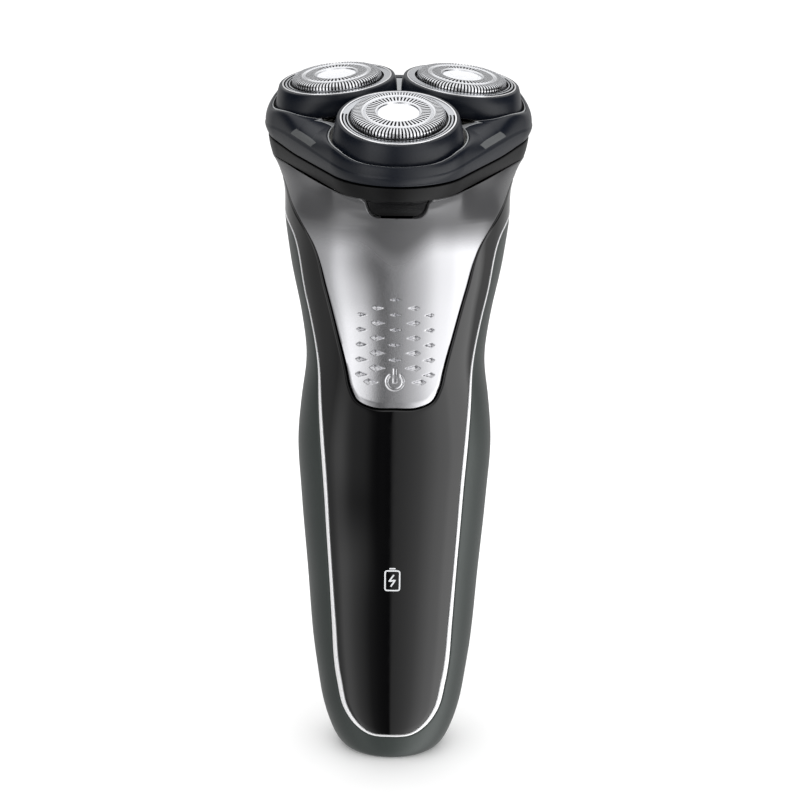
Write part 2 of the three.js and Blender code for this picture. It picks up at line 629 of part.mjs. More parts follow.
function addInside() {
  put(shaver, "inner_frame", innerFrame(), CHASSIS);
  put(shaver, "battery_cell", drum(CELL_R, CELL_Z0, CELL_Z1, 0, CELL_Y - 0.2, 24), CELL_BLUE);
  put(shaver, "battery_tab_top", box(-3, 3, 0, 7, CELL_Z1 + GAP, CELL_Z1 + 0.9), STEEL);
  put(shaver, "battery_tab_bottom", box(-3, 3, 0, 7, CELL_Z0 - 0.9, CELL_Z0 - GAP), STEEL);
  put(shaver, "circuit_board", box(-8.5, 8.5, -8.6, -7.4, 24, 108), BOARD_GREEN);
  put(shaver, "power_switch", tactSwitch(), GLOSS_BLACK);
  put(shaver, "charge_led", box(-1, 1, -10.2, -8.9, FRONT_MIDDLE_Z - 0.8, FRONT_MIDDLE_Z + 0.8), LIGHT_WHITE);
  put(shaver, "indicator_lens", indicatorLens(), LIGHT_WHITE);
  put(shaver, "charging_socket", usbSocket(), STEEL);
  put(shaver, "socket_tongue", inletTongue(), RUBBER);
  put(headFrame, "motor", motorCan(), STEEL);
}

function addGearTrain() {
  put(headFrame, "gear_housing", gearHousing(), WHITE_NYLON);
  put(headFrame, "coupling_deck", couplingDeck(), BAND_BLACK);
  deckScrewPlaces().forEach(([x, y], i) => {
    put(headFrame, `deck_screw_${i + 1}`, deckScrew(x, y), STEEL);
  });
  put(headFrame, "motor_shaft", drum(1, MOTOR_TOP + GAP, 5.4, 0, 0, 12), STEEL);
  put(headFrame, "drive_pinion", gear(PINION_TEETH, 1.3), BRASS);
  for (const [side, angle] of Object.entries(HEAD_ANGLES)) {
    const place = new THREE.Group();
    const [x, y] = polar(RHO, angle);
    place.position.set(x, y, 0);
    headFrame.add(place);
    const wheel = new THREE.Group();
    wheel.rotation.z = THREE.MathUtils.degToRad(meshTurn(angle));
    place.add(wheel);
    put(wheel, `spindle_gear_${side}`, gear(SPINDLE_TEETH, SPINDLE_R + GAP), WHITE_NYLON);
    put(wheel, `spindle_shaft_${side}`, spindleShaft(), STEEL);
    put(place, `spindle_seal_${side}`, pipe(2.5, 1.55, DECK_Z + 0.9, DECK_Z + 1.6), RUBBER);
  }
}

function addShavingUnit() {
  put(bandFrame, "unit_base", unitBase(), BAND_BLACK);
  put(bandFrame, "head_cover", headCover(), COVER_BLACK);
  put(bandFrame, "centre_plate", centrePlate(), CENTRE_GREY);
  put(headFrame, "cutter_retainer", cutterRetainer(), WHITE_NYLON);
  for (const [side, angle] of Object.entries(HEAD_ANGLES)) {
    const head = new THREE.Group();
    head.applyMatrix4(headMatrix(angle));
    headFrame.add(head);
    put(head, `dome_${side}`, dome(angle), COVER_BLACK);
    put(head, `foil_guard_${side}`, foilGuard(), DARK_STEEL);
    put(head, `shaving_foil_${side}`, foilCap(), STEEL);
    put(head, `inner_cutter_${side}`, innerCutter(), STEEL);
    put(head, `cutter_hub_${side}`, cutterHub(), WHITE_NYLON);
  }
}

addHandle();
addInside();
addGearTrain();
addShavingUnit();

export default shaver;
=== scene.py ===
"""A three-headed rotary shaver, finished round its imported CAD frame.

Sizes are millimetres in the CAD's own frame; mesh_of() turns them into metres. The handle's pieces
are all cut from one skin (see "Body skin"), addressed by (angle, rise): the angle round the body,
-90 degrees at the front, and the distance travelled up the surface from the flat base.
"""

import json
from math import cos, pi, radians, sin, sqrt

import bmesh
import bpy
import numpy as np
from mathutils import Matrix, Vector


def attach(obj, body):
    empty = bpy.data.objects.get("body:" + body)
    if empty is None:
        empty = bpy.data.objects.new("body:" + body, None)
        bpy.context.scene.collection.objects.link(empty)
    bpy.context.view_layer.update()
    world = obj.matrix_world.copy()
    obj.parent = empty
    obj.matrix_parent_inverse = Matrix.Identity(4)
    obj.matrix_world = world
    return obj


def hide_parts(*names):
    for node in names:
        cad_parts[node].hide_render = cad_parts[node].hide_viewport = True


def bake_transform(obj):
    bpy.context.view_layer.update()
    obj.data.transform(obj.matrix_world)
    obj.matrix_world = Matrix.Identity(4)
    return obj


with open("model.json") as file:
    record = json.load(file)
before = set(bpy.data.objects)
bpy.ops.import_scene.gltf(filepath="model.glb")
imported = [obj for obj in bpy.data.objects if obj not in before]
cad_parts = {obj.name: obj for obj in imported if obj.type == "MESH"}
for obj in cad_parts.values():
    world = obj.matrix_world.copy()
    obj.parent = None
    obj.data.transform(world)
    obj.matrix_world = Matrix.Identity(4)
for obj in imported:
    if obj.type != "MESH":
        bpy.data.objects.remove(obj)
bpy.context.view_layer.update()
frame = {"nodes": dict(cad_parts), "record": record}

# ---- driving dimensions, as in the CAD
MM = 0.001
GAP = 0.3
HALF_WIDTH = [[0, 15.8], [15.8, 17.8], [27, 19.3], [46, 20.75], [66, 22.3], [80, 23],
              [89, 22.2], [99, 21], [109, 22.1], [121, 24.5], [131.8, 26]]
FRONT_Y = [[0, -14.2], [16, -15.8], [40, -18], [70, -19.6], [98, -19.6], [115, -20],
           [124, -21.3], [131.8, -23.6]]
BACK_Y = [[0, 14.5], [16, 16.3], [40, 19.5], [75, 22], [98, 20.3], [115, 21], [131.8, 23]]
CENTRE_Y = [[0, 0], [98, 0.5], [131.8, 2]]
NECK_Z, BOTTOM_ROUND = 131.8, 15.8
BASE_HALF_WIDTH, BASE_FRONT_Y, BASE_BACK_Y = 11.5, -11.3, 10.5
BASE_POWER, BODY_POWER, FLARE_POWER = 2.1, 2.35, 2.6

HEAD_Y, HEAD_Z = 2.4, 144.3
BAND_TILT, HEAD_TILT, LEAN = radians(10.5), radians(16), radians(6.5)
HEAD_SPACING = 28.7
RHO = HEAD_SPACING / sqrt(3)
HEAD_ANGLES = {"front": -90, "right": 30, "left": 150}
FLANGE_Z = 16.4

BAND_R, SEAM_R, COVER_R = 15.4, 16.15, 16.75
BAND_HEIGHT, SEAM = 4.1, 0.4
COVER_TOP_Z, COVER_TOP_SLOPE = 12.6, 0.114
SIDE_FALL, SIDE_FALL_X = 2.2, (24, 29.5)  # how far the cover's top falls at its sides, and where
FRONT_FALL, FRONT_FALL_Y = 0.9, (25, 31)  # the same at its front
SEAM_DIP = 0.9  # the seam under the cover runs lower round the front
CAVITY_R, OPENING_R, TIP_R = 14.2, 15.45, 19.2
DOME_TOP_R, DOME_BASE_R, DOME_BORE_R, DOME_DEPTH, DOME_SKIRT = 13.2, 14.8, 12.75, 5.0, 5.3
DOME_SPLIT = 0.45
LABEL_ANGLE, LABEL_LENGTH, LABEL_SLANT = 57.5, 22.5, 4.5  # degrees from the front centre
LABEL_TURN, LABEL_WIDTH = 70, 23  # degrees round the cover's shoulder
GUARD_R, FOIL_R, FOIL_TOP, DISC_R, DISC_Z = 12.7, 10.35, 1.5, 4.47, 1.15
HINGE_Y, HINGE_Z, KNUCKLE_R = 26.2, 1.0, 1.5

# Outlines seen from the front: [half width, height], lower end first.
TRIM_OUTLINE = [[0, 7.1], [5.2, 7.6], [8.2, 9.7], [10.8, 13.4], [12.7, 21.3], [14, 37.3],
                [15.2, 57.8], [16.4, 77.3], [17.45, 95.7], [20.4, 114], [23.7, 129.6]]
NECK_OUTLINE = [[0, 90.65], [5.5, 90.9], [8.6, 92.3], [10.1, 95], [11.1, 99.3], [13.8, 110],
                [15.85, 117.8], [18.75, 128], [22.2, 133.5], [24.7, 137.4]]
TRIM_BACK_Z, NECK_SIDE_Z, NECK_BACK_Z = 134.2, 139.8, 140.3
TRIM_HALF_WIDTH = [[7, 0.2], [10, 0.45], [14, 0.62], [33, 0.62], [45, 0.48], [88, 0.45],
                   [104, 0.2], [118, 0.17], [136, 0.17]]
BUTTON_HALF_TOP, BUTTON_HALF_BOTTOM, BUTTON_Z, BUTTON_ROUND = 6.65, 5.7, 134.65, 2.1
BUTTON_TOP, BUTTON_GAP = 3.7, 0.3  # height above its lower edge, and the dark line round it
SYMBOL_Z = 49  # charge symbol on the front panel
NECK_DARK_Z, NECK_DARK = (120, 128), 0.25  # painted dark reflection: the neck's metal colour darkens over these heights
NECK_DARK_METAL = 0.35  # how metallic it stays there
NECK_DARK_DIP, NECK_DARK_DIP_WIDTH = 5.5, 9  # this much lower at the centre, over this half width
NECK_CALM_X, NECK_CALM = (8, 13), 0.84  # painted shade: the right side of the metal's colour is darkened a little, so it reflects less
PANEL_CALM_LEFT, PANEL_CALM_RIGHT = (-16, -9), (-5, -2)  # painted shade: the panel's left reflects less between these
PANEL_CALM_Z, PANEL_CALM = (50, 70), 0.75  # above these heights, by up to this share
POWER_Z = 97  # power symbol on the tongue

TRIM_GAP, PANEL_GAP = 0.1, 0.3  # shadow lines beside the trim and round the tongue
ROLL_STEPS = 4  # columns in a moulded edge's quarter round
WELD = 2e-7  # metres: nearer corners are one


# ---- curves
def follow(keys, x):
    """A smooth curve through [x, value] keys, flat beyond the first and the last."""
    knots, values = np.array(keys, float).T
    x = np.clip(x, knots[0], knots[-1])
    i = np.clip(np.searchsorted(knots, x, side="right") - 1, 0, len(knots) - 2)
    step = np.diff(knots)
    slope = np.diff(values) / step
    inner = (slope[:-1] * step[1:] + slope[1:] * step[:-1]) / (step[1:] + step[:-1])
    tangent = np.concatenate([slope[:1], inner, slope[-1:]])
    t = (x - knots[i]) / step[i]
    t2, t3 = t * t, t * t * t
    return ((2 * t3 - 3 * t2 + 1) * values[i] + (t3 - 2 * t2 + t) * step[i] * tangent[i]
            + (3 * t2 - 2 * t3) * values[i + 1] + (t3 - t2) * step[i] * tangent[i + 1])


def smooth_min(a, b, blend):
    h = np.clip(0.5 + 0.5 * (b - a) / blend, 0, 1)
    return b + (a - b) * h - blend * h * (1 - h)


def ease(x):
    x = np.clip(x, 0, 1)
    return x * x * (3 - 2 * x)


def part_way(x, ends):
    """0 at the first end, 1 at the second."""
    return (x - ends[0]) / (ends[1] - ends[0])


def length(vectors):
    return np.sqrt((vectors * vectors).sum(-1))


def unit(vectors):
    return vectors / np.maximum(length(vectors), 1e-12)[..., None]


def polar(radius, degrees):
    return radius * cos(radians(degrees)), radius * sin(radians(degrees))


def rounded(corners, closed=False):
    """A path through (x, y, radius) corners, each one softened by a short curve."""
    count = len(corners)
    path = []
    for k, (x, y, radius) in enumerate(corners):
        here = np.array([x, y], float)
        if radius == 0 or (not closed and k in (0, count - 1)):
            path.append(here)
            continue
        before = np.array(corners[k - 1][:2], float)
        after = np.array(corners[(k + 1) % count][:2], float)
        start = here + unit(before - here) * radius
        end = here + unit(after - here) * radius
        for t in np.linspace(0, 1, 7):
            path.append((1 - t) ** 2 * start + 2 * t * (1 - t) * here + t * t * end)
    if closed:
        path.append(path[0])
    return np.array(path)


# ---- body skin
TOP_Z = HEAD_Z - GAP
ROUND_ARC = BOTTOM_ROUND * pi / 2
TOP_RISE = ROUND_ARC + TOP_Z - BOTTOM_ROUND
SOFTEN = 3.0  # the loft is averaged over this much rise
TAPS = ((-1, 1 / 16), (-0.5, 4 / 16), (0, 6 / 16), (0.5, 4 / 16), (1, 1 / 16))


def hull_radius(angle, R):
    """Distance to the rounded triangle round the three head axes, in any direction."""
    off = np.abs((angle + pi / 2 + pi / 3) % (2 * pi / 3) - pi / 3)
    corner = np.arctan2(R * sin(pi / 3), RHO + R * cos(pi / 3))
    arc = RHO * np.cos(off) + np.sqrt(np.maximum(R * R - (RHO * np.sin(off)) ** 2, 0))
    flat = (RHO / 2 + R) / np.cos(pi / 3 - off)
    return np.where(off < corner, arc, flat)


def loft(z, angle):
    low = np.minimum(z, NECK_Z)
    flare = np.clip((z - NECK_Z) / (TOP_Z - NECK_Z), 0, 1)
    swell = np.sqrt(np.maximum(1 - (1 - np.minimum(low, BOTTOM_ROUND) / BOTTOM_ROUND) ** 2, 0))

    def grow(base, keys):
        return base + (follow(keys, low) - base) * swell

    centre = follow(CENTRE_Y, low)
    width = grow(BASE_HALF_WIDTH, HALF_WIDTH)
    c, s = np.cos(angle), np.sin(angle)
    depth = np.where(s < 0, centre - grow(BASE_FRONT_Y, FRONT_Y), grow(BASE_BACK_Y, BACK_Y) - centre)
    power = BASE_POWER + (BODY_POWER - BASE_POWER) * swell
    body = (np.abs(c / width) ** power + np.abs(s / depth) ** power) ** (-1 / power)
    blend = flare ** FLARE_POWER
    r = body * (1 - blend) + hull_radius(angle, BAND_R) * blend
    tilt = BAND_TILT * flare
    return np.stack([r * c, centre + (HEAD_Y - centre) * flare + r * s * np.cos(tilt),
                     low + (TOP_Z - NECK_Z) * flare + r * s * np.sin(tilt)], -1)


def height(rise):
    round_part = BOTTOM_ROUND * (1 - np.cos(np.clip(rise, 0, ROUND_ARC) / BOTTOM_ROUND))
    return np.where(rise < ROUND_ARC, round_part, rise - ROUND_ARC + BOTTOM_ROUND)


def rise_at(z):
    return z - BOTTOM_ROUND + ROUND_ARC


def skin(rise, angle):
    rise, angle = np.broadcast_arrays(np.asarray(rise, float), np.asarray(angle, float))
    reach = np.clip(np.minimum(TOP_RISE - rise, rise), 0, SOFTEN)
    return sum(weight * loft(height(rise + step * reach), angle) for step, weight in TAPS)


def partials(rise, angle):
    """How the skin moves per unit of rise and of angle."""
    low, high = np.maximum(rise - 0.03, 0), np.minimum(rise + 0.03, TOP_RISE)
    up = (skin(high, angle) - skin(low, angle)) / (high - low)[..., None]
    across = (skin(rise, angle + 5e-4) - skin(rise, angle - 5e-4)) / 1e-3
    return up, across


def skin_normal(rise, angle):
    up, across = partials(rise, angle)
    return unit(np.cross(across, up))


def on_front(points):
    """(angle, rise) of points given as [x, z] in the front view."""
    x, z = np.array(points, float).T
    angle = -pi / 2 + np.arcsin(np.clip(x / 30, 0, 0.95))
    rise = rise_at(z)
    for _ in range(40):
        error = np.stack([x, z], -1) - skin(rise, angle)[..., [0, 2]]
        up, across = (d[..., [0, 2]] for d in partials(rise, angle))
        det = across[..., 0] * up[..., 1] - up[..., 0] * across[..., 1]
        turn = (error[..., 0] * up[..., 1] - up[..., 0] * error[..., 1]) / det
        climb = (across[..., 0] * error[..., 1] - error[..., 0] * across[..., 1]) / det
        angle = np.clip(angle + np.clip(turn, -0.15, 0.15), -pi / 2 - 0.001, 0)
        rise = np.clip(rise + np.clip(climb, -4, 4), 0.1, TOP_RISE)
    return np.stack([angle, rise], -1)


def on_skin(points):
    """Points on the skin, and its outward directions there, from [x, z] with either sign of x."""
    points = np.array(points, float)
    side = np.where(points[:, 0] < 0, -1.0, 1.0)
    angle, rise = on_front(np.abs(points)).T
    mirror = np.stack([side, np.ones_like(side), np.ones_like(side)], -1)
    return skin(rise, angle) * mirror, skin_normal(rise, angle) * mirror


# A curve on the skin is an array of (angle, rise) rows, evenly spaced along its length.
CURVE_POINTS = 1200


def distances(points):
    """How far along a path of points each one lies."""
    return np.concatenate([[0], np.cumsum(length(np.diff(points, axis=0)))])


def drawn(keys, count=CURVE_POINTS):
    """A smooth curve through (angle, rise) keys that meets its mirror image at both ends."""
    keys = np.array(keys, float)
    before = (keys[2:0:-1] * [-1, 1]) - [pi, 0]
    after = (keys[-2:-4:-1] * [-1, 1]) + [pi, 0]
    every = np.vstack([before, keys, after])
    chord = distances(skin(every[:, 1], every[:, 0]))
    u = np.linspace(chord[2], chord[-3], count)
    return np.stack([follow(np.c_[chord, every[:, k]], u) for k in (0, 1)], -1)


def plain(keys, count=CURVE_POINTS):
    """Straight runs between (angle, rise) keys, evenly spaced."""
    fine = np.vstack([np.linspace(a, b, 200, endpoint=False) for a, b in zip(keys[:-1], keys[1:])]
                     + [keys[-1:]])
    chord = distances(skin(fine[:, 1], fine[:, 0]))
    u = np.linspace(0, chord[-1], count)
    return np.stack([np.interp(u, chord, fine[:, k]) for k in (0, 1)], -1)


def shifted(curve, distance):
    """The curve moved sideways over the skin: up at the front centre, forwards at the sides."""
    angle, rise = curve.T
    up, across = partials(rise, angle)
    along = np.gradient(skin(rise, angle), axis=0)
    along[0], along[-1] = (1, 0, 0), (-1, 0, 0)
    aside = unit(np.cross(unit(np.cross(across, up)), along))
    move = aside * np.broadcast_to(distance, angle.shape)[:, None]
    aa, ab, bb = (across * across).sum(-1), (across * up).sum(-1), (up * up).sum(-1)
    da, db = (across * move).sum(-1), (up * move).sum(-1)
    det = aa * bb - ab * ab
    return curve + np.stack([(da * bb - db * ab) / det, (db * aa - da * ab) / det], -1)


def at(curve, part):
    ends = np.linspace(0, 1, len(curve))
    return np.stack([np.interp(part, ends, curve[:, k]) for k in (0, 1)], -1)


def spaced(curve, share, stops, parts):
    """Points of the curve, with given parts of it reached at given shares of the strip."""
    return at(curve, np.interp(share, stops, parts))


def part_at(curve, z):
    """How far along the curve it first reaches a height."""
    heights = skin(curve[:, 1], curve[:, 0])[:, 2]
    return np.argmax(heights >= z) / (len(curve) - 1)


# ---- strips of skin
def roll(edge, size):
    """Columns for one edge: a wall that turns in, then a quarter round."""
    radius, depth = (np.broadcast_to(np.asarray(value, float), size.shape) for value in edge)
    turn = np.linspace(0, pi / 2, ROLL_STEPS + 1)
    across = np.concatenate([np.zeros((len(size), 1)), radius[:, None] * (1 - np.cos(turn))], 1)
    down = np.concatenate([np.maximum(depth, radius)[:, None], radius[:, None] * (1 - np.sin(turn))], 1)
    return across / size[:, None], down


def patch(a, b, columns, edge_a, edge_b, near_a=(), relief=None, lift=0.0):
    """A strip of skin from curve a to curve b, as a grid of points. Each edge is (roll radius,
    wall depth). near_a adds columns at fixed distances from a; relief(points, distance from a)
    sinks the surface."""
    step = b - a

    def span(curve):
        up, across = partials(curve[:, 1], curve[:, 0])
        along = np.gradient(skin(curve[:, 1], curve[:, 0]), axis=0)
        over = across * step[:, :1] + up * step[:, 1:]
        return np.maximum(length(np.cross(over, along)) / length(along), 0.05)

    size_a, size_b = span(a), span(b)
    va, down_a = roll(edge_a, size_a)
    vb, down_b = roll(edge_b, size_b)
    near = np.array(near_a, float)[None, :] / size_a[:, None] + va[:, -1:]
    start = near[:, -1:] if len(near_a) else va[:, -1:]
    share = np.linspace(0, 1, columns + 1)[1:-1]
    middle = start + (1 - vb[:, -1:] - start) * share
    v = np.concatenate([va, near, middle, 1 - vb[:, ::-1]], 1)
    flat = np.zeros((len(a), near.shape[1] + middle.shape[1]))
    down = np.concatenate([down_a, flat, down_b[:, ::-1]], 1) - lift
    angle = a[:, :1] + step[:, :1] * v
    rise = a[:, 1:] + step[:, 1:] * v
    points = skin(rise, angle)
    if relief:
        down = down + relief(points, v * size_a[:, None])
    return points - skin_normal(rise, angle) * down[..., None]


def mirrored(points):
    return points * [-1, 1, 1]


def both(grid):
    return [grid, mirrored(grid)]


def tile(outline, edge, lift, rings):
    """A small plate that follows the skin: rings from an [x, z] outline in to its centre."""
    outline = np.array(outline, float)
    centre = outline.mean(0)
    along = np.roll(outline, -1, 0) - np.roll(outline, 1, 0)
    inward = unit(np.stack([-along[:, 1], along[:, 0]], -1))
    inward *= np.sign(((centre - outline) * inward).sum(-1))[:, None]
    radius, depth = edge
    turn = np.linspace(0, pi / 2, ROLL_STEPS + 1)
    rows = [(outline, depth)]
    rows += [(outline + inward * radius * (1 - cos(t)), radius * (1 - sin(t))) for t in turn]
    last = rows[-1][0]
    rows += [(last + (centre - last) * share, 0) for share in np.linspace(0, 1, rings + 1)[1:-1]]
    rows += [(centre + (last - centre) * 0.001, 0)]
    grid = []
    for ring, down in rows:
        points, normals = on_skin(ring)
        grid.append(points - normals * (down - lift))
    grid = np.array(grid)
    return np.concatenate([grid, grid[:, :1]], 1)


# ---- making pieces
def faces_of(rows, columns):
    index = np.arange(rows * columns).reshape(rows, columns)
    quads = [index[:-1, :-1], index[:-1, 1:], index[1:, 1:], index[1:, :-1]]
    return np.stack([q.ravel() for q in quads], -1)


def facing_out(points, quads, middle):
    corners = points[quads]
    normal = np.cross(corners[:, 2] - corners[:, 0], corners[:, 3] - corners[:, 1])
    return (normal * (corners.mean(1) - middle)).sum() > 0


def mesh_of(name, points, quads):
    mesh = bpy.data.meshes.new(name)
    mesh.from_pydata((points * MM).tolist(), [], quads.tolist())
    return mesh


def smooth(mesh):
    for polygon in mesh.polygons:
        polygon.use_smooth = True


def linked(name, data):
    """A new object that shows the data, in the scene."""
    thing = bpy.data.objects.new(name, data)
    bpy.context.scene.collection.objects.link(thing)
    return thing


def make(name, grids, body, look, slot, replaces=(), sharp=35, keep=None, thickness=0):
    """One piece from grids of points. keep(row, column) says which cells of a grid stay."""
    points, quads, count = [], [], 0
    middle = np.concatenate([g.reshape(-1, 3) for g in grids]).mean(0)
    for grid in grids:
        flat = grid.reshape(-1, 3)
        cells = faces_of(*grid.shape[:2])
        if keep is not None:
            rows, columns = np.divmod(np.arange(len(cells)), grid.shape[1] - 1)
            cells = cells[keep(rows, columns)]
        if not facing_out(flat, cells, middle):
            cells = cells[:, ::-1]
        points.append(flat)
        quads.append(cells + count)
        count += len(flat)
    mesh = mesh_of(name, np.concatenate(points), np.concatenate(quads))
    work = bmesh.new()
    work.from_mesh(mesh)
    bmesh.ops.remove_doubles(work, verts=work.verts, dist=WELD)
    loose = [v for v in work.verts if not v.link_faces]
    bmesh.ops.delete(work, geom=loose, context="VERTS")
    if thickness:
        bmesh.ops.solidify(work, geom=work.faces[:], thickness=thickness * MM)
    work.to_mesh(mesh)
    work.free()
    smooth(mesh)
    mesh.set_sharp_from_angle(angle=radians(sharp))
    mesh.materials.append(FINISHES[look])
    piece = linked(name, mesh)
    if body:
        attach(piece, body)
    if replaces:
        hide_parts(*replaces)
    return piece


def carried(points, matrix):
    """Points moved by a 4x4 matrix."""
    m = np.array(matrix)
    return points @ m[:3, :3].T + m[:3, 3]


def lathe(profile, sides=128, squeeze=None):
    """A grid from (radius, height) points turned round +Z."""
    angles = np.linspace(0, 2 * pi, sides + 1)
    radius, level = (np.array(profile, float)[:, k][:, None] + 0 * angles for k in (0, 1))
    if squeeze:
        radius = squeeze(radius, level, angles)
    return np.stack([radius * np.cos(angles), radius * np.sin(angles), level], -1)


def extruded(outline, x0, x1, bevel):
    """A bar along X with an outline in (y, z), its ends bevelled and closed."""
    outline = np.array(outline, float)
    centre = outline.mean(0)
    closed = np.vstack([outline, outline[:1]])
    rows = []
    for x, inset in ((x0, 1), (x0, bevel), (x0 + bevel, 0), (x1 - bevel, 0), (x1, bevel), (x1, 1)):
        if inset == 1:
            ring = centre + (closed - centre) * 0.001
        else:
            ring = closed + unit(centre - closed) * inset
        rows.append(np.c_[np.full(len(ring), x), ring])
    return np.array(rows)


# ---- finishes
def linear(red, green, blue):
    """A display colour, 0 to 255, as the linear colour that a shader takes."""
    channels = [c / 255 for c in (red, green, blue)]
    return [c / 12.92 if c <= 0.04045 else ((c + 0.055) / 1.055) ** 2.4 for c in channels] + [1]


def add_node(tree, kind, **values):
    """A shader node with some inputs set; _ stands for the space in an input's name."""
    node = tree.nodes.new("ShaderNode" + kind)
    for socket, value in values.items():
        node.inputs[socket.replace("_", " ")].default_value = value
    return node


def finish(name, color, roughness, metallic=0.0, spread=0.04, tint=0.06, grain=900, bump=0.02,
           specular=0.5):
    """A surface whose tone, gloss and relief all vary a little with noise at two scales."""
    material = bpy.data.materials.new(name)
    material.use_nodes = True
    tree = material.node_tree
    link = tree.links.new
    shader = tree.nodes["Principled BSDF"]
    shader.inputs["Metallic"].default_value = metallic
    shader.inputs["Specular IOR Level"].default_value = specular
    spot = add_node(tree, "TexCoord").outputs["Object"]
    fine = add_node(tree, "TexNoise", Scale=grain, Detail=4)
    broad = add_node(tree, "TexNoise", Scale=40, Detail=3)
    link(spot, fine.inputs["Vector"])
    link(spot, broad.inputs["Vector"])
    tone = add_node(tree, "ValToRGB")
    dark, light = tone.color_ramp.elements
    dark.position, light.position = 0.3, 0.7
    dark.color = [c * (1 - tint) for c in color[:3]] + [1]
    light.color = [min(c * (1 + tint), 1) for c in color[:3]] + [1]
    link(broad.outputs["Fac"], tone.inputs["Fac"])
    link(tone.outputs["Color"], shader.inputs["Base Color"])
    gloss = add_node(tree, "MapRange", From_Min=0.3, From_Max=0.7,
                     To_Min=max(roughness - spread, 0.01), To_Max=roughness + spread)
    link(fine.outputs["Fac"], gloss.inputs["Value"])
    link(gloss.outputs["Result"], shader.inputs["Roughness"])
    relief = add_node(tree, "Bump", Strength=bump, Distance=0.0002)
    link(fine.outputs["Fac"], relief.inputs["Height"])
    link(relief.outputs["Normal"], shader.inputs["Normal"])
    return material


LOOKS = {
    "shell_olive": ((54, 60, 58), 0.38, 0.3, dict(grain=2500, bump=0.08)),
    "gloss_black": ((5, 5, 6), 0.06, 0, dict(spread=0.02, bump=0.002, grain=300, specular=0.55)),
    "trim_silver": ((248, 248, 249), 0.3, 0.15, dict(tint=0.02, bump=0.01)),
    "rim_silver": ((238, 238, 240), 0.2, 1, dict(tint=0.02, bump=0.01)),
    "satin_silver": ((193, 193, 196), 0.23, 1, dict(tint=0.02, grain=3500, bump=0.05, spread=0.03)),
    "cover_black": ((12, 17, 27), 0.33, 0, dict(grain=2600, bump=0.05, specular=0.34)),
    "band_black": ((8, 8, 9), 0.38, 0, dict(grain=2600, bump=0.06, specular=0.2)),
    "centre_grey": ((165, 167, 169), 0.35, 0.6, dict(bump=0.03)),
    "foil_steel": ((228, 229, 232), 0.27, 1, dict(grain=1800, bump=0.06)),
    "dark_steel": ((196, 198, 202), 0.26, 1, dict(grain=1500, bump=0.12)),
    "steel": ((190, 190, 192), 0.28, 1, dict(grain=1200, bump=0.04)),
    "nylon_white": ((226, 224, 216), 0.5, 0, dict(grain=1500, bump=0.05)),
    "chassis_grey": ((140, 143, 145), 0.6, 0, dict(grain=1500, bump=0.08)),
    "board_green": ((30, 92, 55), 0.45, 0, dict(tint=0.15, bump=0.03)),
    "cell_blue": ((46, 94, 158), 0.35, 0, dict(tint=0.08, bump=0.02)),
    "seal_rubber": ((22, 22, 22), 0.8, 0, dict(grain=1800, bump=0.12)),
    "brass": ((188, 150, 72), 0.3, 1, dict(tint=0.08, bump=0.04)),
    "lens_white": ((236, 238, 240), 0.25, 0, dict(tint=0.02, bump=0.01)),
    # painted shade: black for the sheet under the foil's slots
    "slot_shadow_black": ((4, 4, 4), 0.6, 0, dict(bump=0.02, specular=0.15)),
    "button_black": ((4, 4, 5), 0.3, 0, dict(grain=2600, bump=0.04, specular=0.16)),
    "disc_silver": ((248, 249, 252), 0.3, 0.5, dict(tint=0.01, bump=0.02)),
    "switch_black": ((16, 16, 17), 0.4, 0, dict(bump=0.04)),
    # painted shade: the inner cutter's steel darkened to stand for the shadow inside the foil
    "shaded_cutter_steel": ((62, 62, 64), 0.45, 1, dict(grain=1200, bump=0.04)),
    "label_grey": ((86, 88, 89), 0.5, 0, dict(bump=0.02)),
    "motor_steel": ((168, 170, 172), 0.32, 1, dict(bump=0.05)),
}
FINISHES = {name: finish(name, linear(*color), rough, metal, **rest)
            for name, (color, rough, metal, rest) in LOOKS.items()}
# the inner cutter takes darkened steel, painted shade inside the foil; the hub takes its own black
# plastic
HIDDEN_IN_FOIL = {"inner_cutter": "shaded_cutter_steel", "cutter_hub": "switch_black"}


def in_metres(numbers):
    return [number * MM for number in numbers]


def shade_neck():
    """Painted dark reflection: the satin metal's colour and metalness fall to a gunmetal tone up the
    neck, and the dark dips at the front centre.
    """
    material = FINISHES["satin_silver"]
    tree = material.node_tree
    wiring = Wiring(tree)
    tone = tree.nodes["Color Ramp"].outputs["Color"]
    x, _, z = wiring.split(tree.nodes["Texture Coordinate"].outputs["Object"])
    aside = wiring.slope(wiring.math("ABSOLUTE", x), 0, NECK_DARK_DIP_WIDTH * MM)
    # painted dark reflection: the colour and metalness fall with this height
    level = wiring.math("SUBTRACT", z, wiring.math("MULTIPLY", aside, NECK_DARK_DIP * MM))
    bright = wiring.slope(level, *in_metres(NECK_DARK_Z), 1.0, NECK_DARK)
    # painted shade: the metal's colour darkens a little towards its right side
    calm = wiring.slope(x, *in_metres(NECK_CALM_X), 1.0, NECK_CALM)
    bright = wiring.math("MULTIPLY", bright, calm)
    mix = tree.nodes.new("ShaderNodeVectorMath")
    mix.operation = "SCALE"
    tree.links.new(tone, mix.inputs[0])
    tree.links.new(bright, mix.inputs["Scale"])
    shader = tree.nodes["Principled BSDF"]
    tree.links.new(mix.outputs[0], shader.inputs["Base Color"])
    metal = wiring.slope(level, *in_metres(NECK_DARK_Z), 1.0, NECK_DARK_METAL)
    tree.links.new(metal, shader.inputs["Metallic"])


